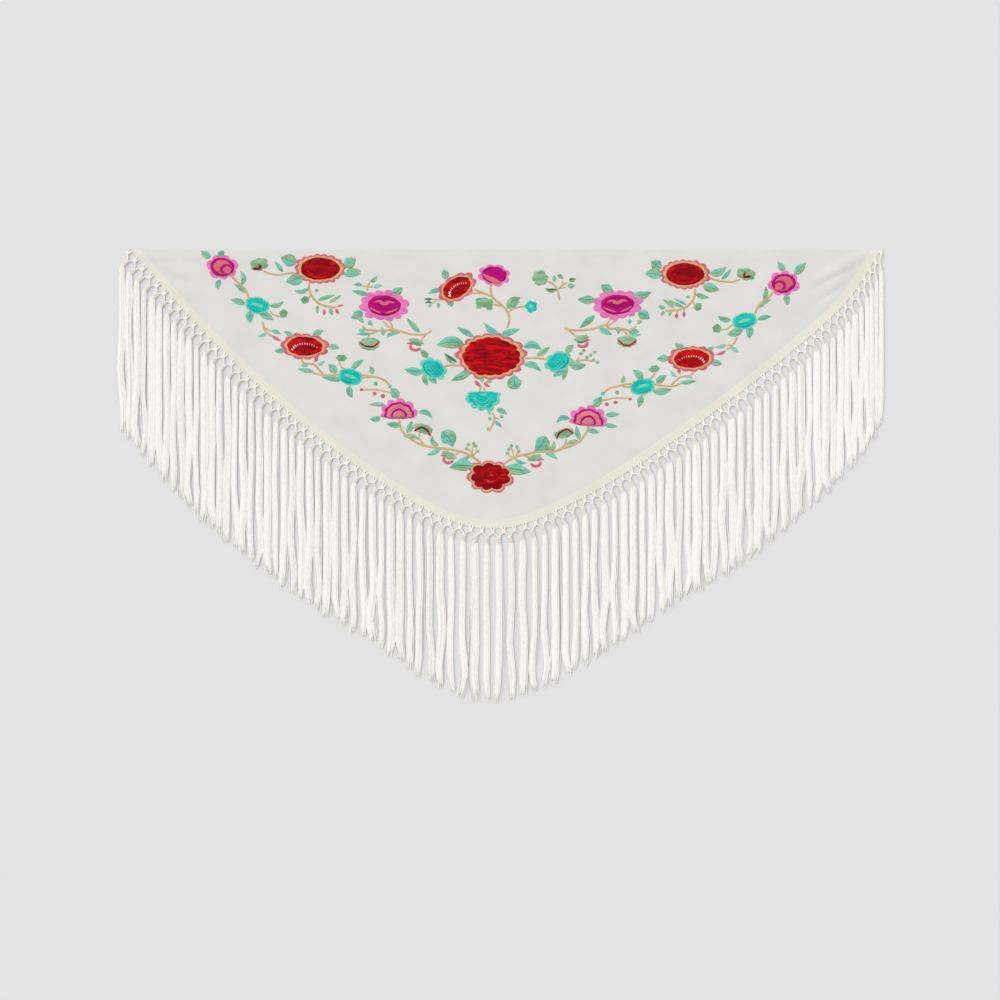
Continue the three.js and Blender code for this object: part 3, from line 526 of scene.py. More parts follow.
# Arcs in red over the buds and hooks in pink beside them
BUD_STROKES = [
    Stroke("red", 5.2, [(-507, 426), (-498, 425), (-489, 426)]),
    Stroke("red", 6.4, [(-494, 434), (-492, 430), (-491, 425)]),
    Stroke("red", 3.6, [(-288, 274), (-277, 267), (-262, 265), (-253, 270), (-249, 276)]),
    Stroke("red", 3.8, [(-176, 92), (-168, 97), (-160, 100), (-150, 94), (-145, 86), (-142, 82)]),
    Stroke("red", 3.8, [(116, 76), (120, 86), (126, 91), (137, 96), (144, 92), (150, 87)]),
    Stroke("red", 3.6, [(242, 279), (252, 270), (264, 268), (274, 273), (279, 278)]),
    Stroke("red", 5.0, [(498, 409), (506, 408), (515, 410)]),
    Stroke("red", 5.6, [(501, 409), (501, 414), (504, 418)]),
    Stroke("dusty", 4.4, [(-191, 272), (-183, 272), (-176, 270)]),
    Stroke("dusty", 7, [(-183, 270), (-183, 262), (-174, 258), (-162, 262)]),
    Stroke("dusty", 4.4, [(-122, 42), (-115, 42), (-108, 40)]),
    Stroke("dusty", 7, [(-115, 39), (-115, 31), (-106, 27), (-95, 31)]),
    Stroke("dusty", 4.4, [(90, 34), (82, 34), (75, 32)]),
    Stroke("dusty", 7, [(82, 31), (82, 24), (73, 20), (62, 25)]),
    Stroke("dusty", 4.4, [(185, 279), (178, 279), (171, 277)]),
    Stroke("dusty", 7, [(178, 277), (178, 269), (169, 265), (158, 269)]),
]


def linear(code):
    """An sRGB hex colour as linear RGBA."""
    channels = [int(code[k:k + 2], 16) / 255 for k in (1, 3, 5)]
    return [c / 12.92 if c <= 0.04045 else ((c + 0.055) / 1.055) ** 2.4 for c in channels] + [1.0]


def uneven(number, kind):
    """A repeatable unevenness from -1 to 1."""
    return np.sin(12.9898 * number + 78.233 * kind) * np.cos(4.1414 * number + kind)


def spline(points, per_span):
    """A smooth line through the points, with per_span steps between each two."""
    p = np.array(points, float)
    if len(p) == 2:
        return p[0] + np.linspace(0, 1, 2 * per_span + 1)[:, None] * (p[1] - p[0])
    p = np.vstack([2 * p[0] - p[1], p, 2 * p[-1] - p[-2]])
    line = []
    for k in range(1, len(p) - 2):
        a, b, c, d = p[k - 1:k + 3]
        ab, bc, cd = (math.sqrt(np.linalg.norm(q - r)) for q, r in ((b, a), (c, b), (d, c)))
        out = bc * ((b - a) / ab - (c - a) / (ab + bc) + (c - b) / bc)
        into = bc * ((c - b) / bc - (d - b) / (bc + cd) + (d - c) / cd)
        t = (np.arange(per_span) / per_span)[:, None]
        line.append(b + t * (out + t * (3 * (c - b) - 2 * out - into + t * (2 * (b - c) + out + into))))
    return np.vstack([*line, p[-2]])


def arc_length(line):
    """How far along a line each of its points is."""
    return np.concatenate([[0], np.cumsum(np.linalg.norm(np.diff(line, axis=0), axis=1))])


def sampled(line, along, at):
    """Points of a line at distances along it."""
    return np.stack([np.interp(at, along, line[:, k]) for k in range(line.shape[1])], -1)


def evenly(line, count):
    """A number of points along a line with even steps between them."""
    along = arc_length(line)
    return sampled(line, along, np.linspace(0, along[-1], count))


def tangents(line):
    """The unit tangents of a line at its points."""
    tangent = np.gradient(line, axis=0)
    return tangent / np.linalg.norm(tangent, axis=1)[:, None]


def stepped(line, step):
    """The line again with even steps, its unit tangents and how far along each point is."""
    length = arc_length(line)[-1]
    count = max(4, int(round(length / step))) + 1
    points = evenly(line, count)
    return points, tangents(points), np.linspace(0, length, count)


EDGE_LINE = spline(EDGE_POINTS, 60)
EDGE_ALONG = arc_length(EDGE_LINE)
EDGE_LENGTH = EDGE_ALONG[-1]
EDGE_TANGENT = np.gradient(EDGE_LINE, EDGE_ALONG, axis=0)


def edge_frame(share):
    """Points on the hem's outer edge at shares of its length, the way out of the cloth and the net's lean."""
    at = np.clip(np.asarray(share, float), 0, 1) * EDGE_LENGTH
    point, along = (sampled(values, EDGE_ALONG, at) for values in (EDGE_LINE, EDGE_TANGENT))
    out = np.stack([along[..., 1], -along[..., 0]], -1)
    out /= np.linalg.norm(out, axis=-1, keepdims=True)
    droop = np.interp(share, [row.share for row in NET_DROOP], [row.droop for row in NET_DROOP])[..., None]
    lean = (1 - droop) * out + droop * np.array([0, -1.0])
    return point, out, lean / np.linalg.norm(lean, axis=-1, keepdims=True)


def inset_line(inset, clearance, count):
    """A line inside the hem's outer edge, from where it leaves the top edge on the left to the right."""
    share = np.linspace(0, 1, 4001)
    point, out, _ = edge_frame(share)
    point = point - inset * out
    inside = np.flatnonzero(point[:, 1] <= TOP_EDGE - clearance)
    return evenly(point[inside[0]:inside[-1] + 1], count)


def own_axes(row, x, y):
    """Points in the turned axes of a crease or a blossom."""
    turn = math.radians(row.turn)
    x, y = x - row.x, y - row.y
    return x * math.cos(turn) + y * math.sin(turn), y * math.cos(turn) - x * math.sin(turn)


def cloth_height(x, y):
    """How high the creases lift the cloth off the floor."""
    height = np.zeros_like(x)
    for crease in CREASES:
        along, across = own_axes(crease, x, y)
        fade = np.maximum(0, 1 - (along / crease.length) ** 2 - (across / crease.width) ** 2)
        height = np.maximum(height, crease.height * fade ** 2)
    return height


class Sewing:
    """The points, faces, thread coordinates and silks of one piece while it is made."""

    def __init__(self):
        self.points, self.loops, self.sizes, self.thread, self.silk = [], [], [], [], []
        self.count = 0
        self.silks = []

    def add_points(self, points, thread):
        """Adds points in millimetres with their thread coordinates, and gives the index of the first."""
        first = self.count
        points = np.asarray(points, float).reshape(-1, 3)
        self.points.append(points)
        self.thread.append(np.asarray(thread, float).reshape(-1, 2))
        self.count += len(points)
        return first

    def add_faces(self, corners, silk):
        """Adds faces given as rows of point indices; silk is one name or one for each face."""
        corners = np.asarray(corners)
        names = [silk] * len(corners) if isinstance(silk, str) else list(silk)
        for name in dict.fromkeys(names):
            if name not in self.silks:
                self.silks.append(name)
        numbers = {name: k for k, name in enumerate(self.silks)}
        self.loops.append(corners.ravel())
        self.sizes.append(np.full(len(corners), corners.shape[1]))
        self.silk.append(np.array([numbers[name] for name in names]))

    def grid(self, points, thread, silks, closed=False):
        """Adds a grid of points (rows, columns, 3); silks has one name for each strip between columns."""
        rows, columns = points.shape[:2]
        first = self.add_points(points, thread)
        i = np.arange(rows if closed else rows - 1)[:, None]
        j = np.arange(columns - 1)[None, :]
        after = (i + 1) % rows
        here, there = i * columns + j, after * columns + j
        corners = np.stack([here, there, there + 1, here + 1], -1)
        self.add_faces(first + corners.reshape(-1, 4), list(silks) * len(i))
        return first

    def finish(self, name, materials, sharp=None):
        """The finished piece as an object in the row frame; edges steeper than sharp aren't smoothed over."""
        mesh = bpy.data.meshes.new(name)
        points = (np.vstack(self.points) + SHIFT) * MM
        loops, sizes = np.concatenate(self.loops), np.concatenate(self.sizes)
        mesh.vertices.add(len(points))
        mesh.vertices.foreach_set("co", points.astype(np.float32).ravel())
        mesh.loops.add(len(loops))
        mesh.loops.foreach_set("vertex_index", loops.astype(np.int32))
        mesh.polygons.add(len(sizes))
        mesh.polygons.foreach_set("loop_start", (np.cumsum(sizes) - sizes).astype(np.int32))
        mesh.polygons.foreach_set("material_index", np.concatenate(self.silk).astype(np.int32))
        mesh.update(calc_edges=True)
        uv = mesh.uv_layers.new(name="thread")
        uv.data.foreach_set("uv", np.vstack(self.thread)[loops].astype(np.float32).ravel())
        for silk in self.silks:
            mesh.materials.append(materials[silk])
        work = bmesh.new()
        work.from_mesh(mesh)
        bmesh.ops.remove_doubles(work, verts=work.verts, dist=1e-6)
        bmesh.ops.dissolve_degenerate(work, edges=work.edges, dist=1e-7)
        bmesh.ops.recalc_face_normals(work, faces=work.faces)
        work.to_mesh(mesh)
        work.free()
        mesh.shade_smooth()
        if sharp:
            mesh.set_sharp_from_angle(angle=math.radians(sharp))
        mesh.update()
        made = bpy.data.objects.new(name, mesh)
        bpy.context.scene.collection.objects.link(made)
        return made


STITCH = 1.5  # from one stitch to the next
RIB = 0.22  # the depth of the furrow between two stitches
BACK = 0.35  # how far the stitching reaches into the cloth
BROAD_LEAF = 27  # leaves wider than this have a round tip
LEAF_FULL = 1.18  # their drawn width over the one in the table
LEAF_BOW = 0.13  # how far a leaf may bow, as a share of its length
LEAF_SLANT = 0.5  # how far its stitches run towards the tip, over how far they run out
MIDRIB = 0.5  # the depth of the furrow along its middle
LEAF_ACROSS = np.array([-1, -0.86, -0.45, -0.05, 0.05, 0.45, 0.86, 1])
STROKE_ACROSS = np.array([-1, -0.6, 0, 0.6, 1])
STROKE_TIP = 0.06  # the width of a pointed stroke at its tips, as a share
# Where an arc over a bud and a hook beside one begin over the cloth, and how high they rise from there
ON_BUD, BESIDE_BUD = (1.35, 0.75), (-BACK, 1.5)
STEM_STEP = 1.1
STEM_FULL = 0.68  # half of a stem's drawn width over the width in the table
STEM_TWIST = 3.6  # the length of one turn of its two silks
STEM_FURROW = 0.28
STEM_HEIGHT = 1.35


def band(sewing, line, tangent, along, half, across, silks, low, high, ribs, slant=0.0):
    """A raised band of stitches along a line. ribs gives how deep the furrow between stitches is at each
    point, slant carries the stitches towards the tip as they leave the middle."""
    rows, columns = len(line), len(across)
    share = along / along[-1]
    shifted = np.clip(share[:, None] + slant * np.abs(across)[None, :] * half[:, None] / along[-1], 0, 1)
    place = [np.interp(shifted, share, line[:, k]) for k in (0, 1)]
    lead = [np.interp(shifted, share, tangent[:, k]) for k in (0, 1)]
    reach = np.interp(shifted, share, half) * across[None, :]
    x, y = place[0] - lead[1] * reach, place[1] + lead[0] * reach
    dome = np.sqrt(np.maximum(0, 1 - across ** 2))[None, :] * np.minimum(1, half / 0.5)[:, None]
    z = np.asarray(low)[:, None] + (high - ribs) * dome
    thread = np.stack([np.broadcast_to((along / STITCH)[:, None], x.shape), reach], -1)
    thread[..., 0] += 41.7 * sewing.count % 997
    first = sewing.grid(np.stack([x, y, z], -1)[:, ::-1], thread[:, ::-1], silks[::-1])
    ends = first + np.arange(rows) * columns
    middle = silks[len(silks) // 2]
    sewing.add_faces(
        np.stack([ends[:-1], ends[:-1] + columns - 1, ends[1:] + columns - 1, ends[1:]], 1), middle)
    return first


def cloth_back(line):
    """The height at which stitches that follow a line leave the cloth."""
    return CLOTH_THICK - BACK + cloth_height(line[:, 0], line[:, 1])


def leaf_silks(row, leftwards):
    """The silks of a leaf across it, from its right edge to its left one. The row's first silk is for the
    half that lies higher on the shawl."""
    if row.width > BROAD_LEAF:
        return ["green", "green", "teal", "deep", "teal", "teal", "green"]
    pink = row.halves == "pp"
    upper, lower = ["dusty"] * 2 if pink else [LEAF_SILK[half] for half in row.halves]
    left_is_upper = leftwards[1] > 0 or (abs(leftwards[1]) < 1e-6 and leftwards[0] < 0)
    right, left = (lower, upper) if left_is_upper else (upper, lower)
    edge, far_edge = (silk if silk in ("dusty", "teal", "mint") else "deep" for silk in (right, left))
    rib = "dusty" if pink else "deep" if row.width > 9 else right
    return [edge, right, right, rib, left, left, far_edge]


def leaf(sewing, row):
    """One leaf: two halves in slanting satin stitch that meet in a midrib, edged in a deeper silk."""
    base, tip = np.array([row.x, row.y], float), np.array([row.tip_x, row.tip_y], float)
    way = tip - base
    leftwards = np.array([-way[1], way[0]])
    bow = row.bow if row.bow is not None else LEAF_BOW * uneven(row.x, row.y)
    line, tangent, along = stepped(spline([base, (base + tip) / 2 + bow * leftwards, tip], 16), STITCH / 2)
    share = along / along[-1]
    if row.width > BROAD_LEAF:
        profile = np.sin(math.pi * share ** 1.3) ** (0.5 + 0.5 * (1 - share))
    else:
        profile = 1.04 * np.sin(math.pi * share ** 0.8) ** 0.86
    half = LEAF_FULL * row.width / 2 * np.maximum(0.03, profile)
    midrib = MIDRIB * (np.abs(LEAF_ACROSS) < 0.1)[None, :] * (row.width > 7)
    ribs = RIB * (np.arange(len(line)) % 2)[:, None] + midrib
    high = min(1.7, 0.8 + row.width / 20)
    band(sewing, line, tangent, along, half, LEAF_ACROSS, leaf_silks(row, leftwards), cloth_back(line),
         high, ribs, LEAF_SLANT)


def stroke(sewing, points, width, silk, low, high, pointed=True):
    """One long stroke of satin stitch, its stitches square to it."""
    line, tangent, along = stepped(spline(points, 12), STITCH / 2)
    share = along / along[-1]
    shape = np.maximum(STROKE_TIP, (4 * share * (1 - share)) ** 0.5) if pointed else np.clip(
        np.minimum(share, 1 - share) * along[-1] / width * 2, 0.4, 1)
    ribs = RIB * (np.arange(len(line)) % 2)[:, None] * np.ones(len(STROKE_ACROSS))
    if callable(low):
        low = low(line[:, 0], line[:, 1])
    low = low * np.ones(len(line))
    band(sewing, line, tangent, along, width / 2 * shape, STROKE_ACROSS, [silk] * 4, low, high, ribs)


def stem(sewing, row):
    """One stem: a flat cord of two silks twisted together, stitched down."""
    line, tangent, along = stepped(spline(row.points, 12), STEM_STEP)
    half = np.full(len(line), STEM_FULL * row.width)
    half[[0, -1]] *= 0.4
    twist = 2 * math.pi * (along[:, None] / STEM_TWIST - 0.3 * STROKE_ACROSS[None, :])
    ribs = STEM_FURROW * (0.5 + 0.5 * np.cos(twist))
    band(sewing, line, tangent, along, half, STROKE_ACROSS, ["tan"] * 4, cloth_back(line), STEM_HEIGHT, ribs)


RISE = 1.1  # how high the padding under a blossom is at its middle
PUFF = 0.75  # how far each ring of stitches swells over it
LEAST_PUFF = 0.6  # the share of that in the smallest blossoms
RIM_SINK = 0.15  # how far a blossom's rings begin below the cloth's face
HEART_SINK = 0.4  # how far the long stitches reach into the padding
HEART_HIGH, HEART_LAYER = 0.62, 0.03  # the first one's height, and how much higher the next ones lie
STAMEN_HIGH = 1.15
ZONE_STEPS = np.array([0, 0.12, 0.35, 0.65, 0.88, 1.0])
HEART_STEPS = np.array([0, 0.06, 0.16, 0.32, 0.5, 0.7, 0.86, 1])


def outline(row, zone, number, theta, reach):
    """A zone's outline as shares of the blossom's size: bulging lobes, no two alike. reach is how far round
    the rim each angle is, from 0 to 1. A deeper notch swells the lobes, so that the size stays the same."""
    lobes = math.pi * row.scallops * (reach + 0.012 * np.sin(4 * math.pi * reach + row.x))
    notch = 1 - np.abs(np.sin(lobes)) ** 0.75
    which = np.floor(lobes / math.pi) % row.scallops
    cut = zone.notch + (1 - math.cos(math.pi / row.scallops)) * zone.notch * 6
    lift = zone.notch * 0.5 * uneven(which + 1, row.y) * (1 - notch)
    wobble = 1 + 0.015 * np.sin(3 * theta + number) + 0.01 * np.sin(7 * theta + 2 * number + row.y)
    return zone.share * (1 - cut * notch + lift) * wobble * (1 + zone.notch * 0.22)


def shape_of(row):
    """A blossom's half width, its heights above and below its widest line, and that line's place."""
    wide = row.wide / 2
    if row.zones.endswith("fan"):
        return wide, row.high * (1 - FAN_FOOT), row.high * FAN_FOOT, row.high * (FAN_FOOT - 0.5)
    return wide, row.high / 2, row.high / 2, 0.0


def turned(row, x, y):
    """Points of a blossom, from its own middle and axes to the shawl's."""
    turn = math.radians(row.turn)
    return row.x + x * math.cos(turn) - y * math.sin(turn), row.y + x * math.sin(turn) + y * math.cos(turn)


def padding(row):
    """How high the padding under a small or large blossom is, as a share."""
    return min(1, min(row.wide, row.high) / 30)


def blossom(sewing, row):
    """One blossom: rings of satin stitch with scalloped rims, each padded and drawn in between."""
    wide, up, down, middle = shape_of(row)
    fine = np.linspace(0, 2 * math.pi, 721)
    tall = np.where(np.sin(fine) > 0, up, down)
    around = arc_length(np.column_stack([wide * np.cos(fine), tall * np.sin(fine)]))
    count = 2 * max(8, int(round(around[-1] / STITCH)))
    reach = np.arange(count) / count
    theta = np.interp(reach * around[-1], around, fine)
    zones = ZONES[row.zones]
    edges = [outline(row, zone, k, theta, reach) for k, zone in enumerate(zones)] + [np.zeros(count)]
    rings, silks, puffs = [], [], []
    for k, zone in enumerate(zones):
        last = k + 1 == len(zones)
        steps = HEART_STEPS if last else ZONE_STEPS
        for step in steps[0 if k == 0 else 1:]:
            rings.append(edges[k] + (edges[k + 1] - edges[k]) * step)
            swell = min(2 * step, 0.5) if last else step
            puffs.append(math.sin(math.pi * swell) ** 0.6 if step else 0)
        silks += [zone.silk] * (len(steps) - 1)
    radius, puffs = np.stack(rings, 1), np.array(puffs)
    ribs = RIB * (np.arange(count) % 2)[:, None] * (puffs > 0.3)[None, :] * np.minimum(1, radius * 3)
    size = padding(row)
    rise = RISE * size * np.sqrt(np.maximum(0, 1 - np.minimum(1, radius) ** 2))
    x = wide * radius * np.cos(theta)[:, None]
    y = middle + np.where(np.sin(theta) > 0, up, down)[:, None] * radius * np.sin(theta)[:, None]
    px, py = turned(row, x, y)
    lift = cloth_height(px, py)
    z = CLOTH_THICK - RIM_SINK + rise + PUFF * max(LEAST_PUFF, size) * puffs[None, :] - ribs + lift
    z[:, 0] = CLOTH_THICK - BACK + lift[:, 0]
    thread = np.stack([np.broadcast_to((np.arange(count) / 2)[:, None], px.shape),
                       radius * (wide + up) / 2 + 37.3 * row.x % 101], -1)
    first = sewing.grid(np.stack([px, py, z], -1), thread, silks, closed=True)
    rim = first + np.arange(count) * radius.shape[1]
    foot = turned(row, 0, middle)
    below = sewing.add_points([[*foot, float(np.min(z[:, 0]))]], [[0, 0]])
    sewing.add_faces(np.stack([rim, np.full(count, below), np.roll(rim, -1)], 1), silks[0])


def heart_low(row):
    """The height of a blossom's padding at points on it."""
    wide, up, down, middle = shape_of(row)
    size = padding(row)

    def low(x, y):
        along, across = own_axes(row, x, y)
        across = across - middle
        radius = np.minimum(1, np.hypot(along / wide, across / np.where(across > 0, up, down)))
        swell = RISE * size * np.sqrt(1 - radius ** 2) + PUFF * max(LEAST_PUFF, size)
        return CLOTH_THICK - (RIM_SINK + HEART_SINK) + swell + cloth_height(x, y)
    return low


def heart_strokes(sewing, row):
    """The long stitches over the heart of a blossom, and an anemone's comb of stamens."""
    flip = -1 if row.x > 0 else 1
    low = heart_low(row)

    def place(points):
        u, v = np.array(points, float).T
        return np.column_stack(turned(row, flip * u * row.wide / 2, v * row.high / 2))

    for number, line in enumerate(HEART_STROKES.get(row.zones, [])):
        stroke(sewing, place(line.points), line.width, line.silk, low, HEART_HIGH + HEART_LAYER * number)
    if row.zones == "anemone":
        arc, way, _ = stepped(spline(place(STAMEN_ARC), 12), 1)
        foot = place([STAMEN_FOOT])[0]
        for stamen, at in zip(STAMENS, np.linspace(0, len(arc) - 1, len(STAMENS)).astype(int)):
            aim = arc[at] - foot
            aim = aim / np.linalg.norm(aim) * stamen.reach + way[at] * stamen.lean
            stroke(sewing, [arc[at] - aim, arc[at] + aim], stamen.width, stamen.silk, low, STAMEN_HIGH)


def node(tree, kind, inputs=None, **settings):
    """Adds a node with its settings; inputs gives each socket a value or another node's socket."""
    made = tree.nodes.new(kind)
    for name, value in settings.items():
        setattr(made, name, value)
    for key, value in (inputs or {}).items():
        if isinstance(value, bpy.types.NodeSocket):
            tree.links.new(value, made.inputs[key])
        else:
            made.inputs[key].default_value = value
    return made


def new_material(name):
    """An empty material; gives its node tree and each point's place on the object, in metres."""
    made = bpy.data.materials.new(name)
    made.use_nodes = True
    made.node_tree.nodes.clear()
    return made, made.node_tree, node(made.node_tree, "ShaderNodeTexCoord").outputs["Object"]


def maths(tree, operation, *values):
    """The result of one step of arithmetic on numbers or sockets."""
    return node(tree, "ShaderNodeMath", dict(enumerate(values)), operation=operation).outputs[0]


def noise(tree, place, scale, detail, roughness=0.5):
    """The value of a noise texture."""
    return node(tree, "ShaderNodeTexNoise", {
        "Vector": place, "Scale": scale, "Detail": detail, "Roughness": roughness}).outputs["Fac"]


def stretched(tree, place, scale):
    """A place or thread coordinate, scaled along its own axes."""
    return node(tree, "ShaderNodeMapping", {0: place, 3: scale}).outputs[0]


def spread(tree, value, reach, onto=(0, 1)):
    """A value whose reach is spread onto another one."""
    return node(tree, "ShaderNodeMapRange", {
        "Value": value, "From Min": reach[0], "From Max": reach[1],
        "To Min": onto[0], "To Max": onto[1]}).outputs["Result"]


def mixed(tree, share, first, second):
    """One colour that runs into another."""
    return node(tree, "ShaderNodeMix", {0: share, 6: first, 7: second}, data_type="RGBA").outputs[2]


def dimmed(tree, colour, share):
    """A colour that is made darker or lighter by a share."""
    return node(tree, "ShaderNodeVectorMath", {0: colour, 3: share}, operation="SCALE").outputs[0]


def surface(tree, colour, height, strength, depth, **looks):
    """The material's surface, with a bump of the given strength and depth from a height."""
    bump = node(tree, "ShaderNodeBump", {"Height": height, "Strength": strength, "Distance": depth})
    looks = {name.replace("_", " "): value for name, value in looks.items()}
    shader = node(tree, "ShaderNodeBsdfPrincipled", {
        "Base Color": colour, "Normal": bump.outputs["Normal"], **looks})
    node(tree, "ShaderNodeOutputMaterial", {"Surface": shader.outputs[0]})


WAVE = 0.314  # the scale of a wave texture whose bands are a metre apart


def crepe(name, colour, shade, spacing):
    """Silk crepe, woven with hard-twisted yarn: a matt, faintly pebbled cloth with a soft sheen."""
    made, tree, place = new_material(name)
    # The real threads are 0.3 mm apart; they are drawn coarser, at the spacing set in the panel, to show
    warp, weft = (node(tree, "ShaderNodeTexWave", {
        "Vector": place, "Scale": WAVE / spacing, "Distortion": 2.2, "Detail": 2.0, "Detail Scale": 90.0},
        wave_type="BANDS", bands_direction=way).outputs["Fac"] for way in "XY")
    weave = maths(tree, "MULTIPLY", warp, weft)
    # Pebbles of 1.6 mm where the hard twist draws the cloth in
    pebble = noise(tree, place, 620.0, 3.0)
    # Patches some 60 mm across where the cloth took the iron a little differently
    patch = noise(tree, place, 16.0, 3.0, 0.6)
    base = mixed(tree, spread(tree, patch, (0.35, 0.65)), colour, shade)
    # The weave darkens the colour between its drawn threads and lightens it a little on them: painted shade
    # and light that follow its bumps
    surface(tree, dimmed(tree, base, spread(tree, weave, (0, 1), (0.955, 1.02))),
            maths(tree, "ADD", weave, pebble), 0.3, 0.25 * MM,
            Roughness=0.82, Sheen_Weight=0.12, Sheen_Roughness=0.5, Specular_IOR_Level=0.25)
    return made


def stitched_silk(name, colour, shaded, amount):
    """Flat embroidery silk laid in satin stitch: glossy along the threads, with painted shade in the furrows
    between the plies and a painted sheen that differs from stitch to stitch.
    """
    made, tree, place = new_material(name)
    thread = node(tree, "ShaderNodeUVMap", uv_map="thread").outputs["UV"]
    across = node(tree, "ShaderNodeSeparateXYZ", {0: thread}).outputs["X"]
    # Each 1.5 mm stitch is drawn with three plies, though real floss has finer ones
    ply = maths(tree, "COSINE", maths(tree, "MULTIPLY", across, 3 * 2 * math.pi))
    # Long and short stitches shade one tone into the other, in ragged patches some 30 mm long and 10 mm high
    patch = noise(tree, stretched(tree, place, (27.0, 90.0, 27.0)), 1.0, 4.0, 0.65)
    base = mixed(tree, spread(tree, patch, (0.47, 0.57), (0, amount)), colour, shaded)
    # A tone for each stitch, drawn out along it: a painted sheen, as each stitch catches the light a little
    # differently
    tone = noise(tree, stretched(tree, thread, (1.3, 0.05, 1.0)), 1.0, 2.0)
    # The plies darken the colour in the furrows between them: painted shade
    light = maths(tree, "MULTIPLY", spread(tree, tone, (0.3, 0.7), (0.82, 1.12)),
                  spread(tree, ply, (-1, 1), (0.92, 1.03)))
    surface(tree, dimmed(tree, base, light), ply, 0.35, 0.1 * MM,
            Roughness=0.42, Sheen_Weight=0.01, Sheen_Roughness=0.4, Specular_IOR_Level=0.06)
    return made


def fringe_silk(name, colour, shade, roughness):
    """Unspun silk floss, knotted or hanging loose: soft gloss, each strand a slightly different ivory. Its
    darker colour is also painted shade, mixed in where the crinkles dip.
    """
    made, tree, place = new_material(name)
    strand = node(tree, "ShaderNodeAttribute", attribute_name="strand").outputs["Fac"]
    # Crinkled filaments: 2.5 mm from one bunch to the next and 6 mm from crinkle to crinkle
    filament = noise(tree, stretched(tree, place, (400.0, 165.0, 400.0)), 1.0, 4.0, 0.65)
    # The crinkles darken the colour where they dip: painted shade between the bunches of filaments, on top of
    # each strand's own tone
    tone = spread(tree, maths(tree, "MULTIPLY_ADD", strand, 0.45, filament), (0.42, 0.86))
    surface(tree, mixed(tree, tone, shade, colour), filament, 0.4, 0.2 * MM,
            Roughness=roughness, Sheen_Weight=0.15, Sheen_Roughness=0.4, Specular_IOR_Level=0.4)
    return made


def paper_floor(name, colour):
    """A matt, pale photographer's floor with a grain of about 3 mm."""
    made, tree, place = new_material(name)
    surface(tree, colour, noise(tree, place, 300.0, 2.0), 0.05, 0.2 * MM,
            Roughness=0.95, Specular_IOR_Level=0.1)
    return made


def new_tree(name, given, made, floats, counts):
    """A Geometry Nodes group; gives the tree and the sockets of its inputs."""
    tree = bpy.data.node_groups.new(name, "GeometryNodeTree")
    face = tree.interface
    face.new_socket(name=given, in_out="INPUT", socket_type="NodeSocketGeometry")
    for kind, defaults in (("Float", floats), ("Int", counts)):
        for each, default in defaults.items():
            socket = face.new_socket(name=each, in_out="INPUT", socket_type="NodeSocket" + kind)
            socket.default_value = default
    face.new_socket(name="Material", in_out="INPUT", socket_type="NodeSocketMaterial")
    face.new_socket(name=made, in_out="OUTPUT", socket_type="NodeSocketGeometry")
    return tree, node(tree, "NodeGroupInput").outputs


def end_tree(tree, instances, material):
    """Ends a Geometry Nodes group: the instances realized, smooth and in their material."""
    real = node(tree, "GeometryNodeRealizeInstances", {"Geometry": instances})
    smooth = node(tree, "GeometryNodeSetShadeSmooth", {"Geometry": real.outputs[0]})
    painted = node(tree, "GeometryNodeSetMaterial", {"Geometry": smooth.outputs[0], "Material": material})
    node(tree, "NodeGroupOutput", {0: painted.outputs[0]})
    return tree


def sweep_tree():
    """Geometry Nodes: a round thread along every line of a mesh, as thick as the line's own share says."""
    tree, given = new_tree("sweep_thread", "Lines", "Threads", {
        "Thickness": 0.001, "Wander": 0.0, "Wander Scale": 20.0}, {"Sides": 4, "Seed": SEED})
    lines = node(tree, "GeometryNodeMeshToCurve", {"Mesh": given["Lines"]}).outputs[0]
    share = node(tree, "GeometryNodeInputNamedAttribute", {"Name": "share"}, data_type="FLOAT").outputs[0]
    sized = node(tree, "GeometryNodeSetCurveRadius", {"Curve": lines, "Radius": share}).outputs[0]
    drift = node(tree, "ShaderNodeTexNoise", {
        "Vector": node(tree, "GeometryNodeInputPosition").outputs[0], "W": given["Seed"],
        "Scale": given["Wander Scale"], "Detail": 1.0}, noise_dimensions="4D").outputs["Color"]
    centred = node(tree, "ShaderNodeVectorMath", {0: drift, 1: (0.5, 0.5, 0.5)}, operation="SUBTRACT")
    # Mostly sideways, and little along a tassel or off the floor
    flat = node(tree, "ShaderNodeVectorMath", {
        0: centred.outputs[0], 1: (1.0, 0.3, 0.3)}, operation="MULTIPLY")
    wandered = node(tree, "GeometryNodeSetPosition", {
        "Geometry": sized, "Offset": dimmed(tree, flat.outputs[0], given["Wander"])}).outputs[0]
    radius = maths(tree, "MULTIPLY", given["Thickness"], 0.5)
    ring = node(tree, "GeometryNodeCurvePrimitiveCircle", {
        "Resolution": given["Sides"], "Radius": radius}, mode="RADIUS")
    tube = node(tree, "GeometryNodeCurveToMesh", {
        "Curve": wandered, "Profile Curve": ring.outputs[0], "Fill Caps": True})
    if "Scale" in tube.inputs:
        tree.links.new(share, tube.inputs["Scale"])
    return end_tree(tree, tube.outputs[0], given["Material"])


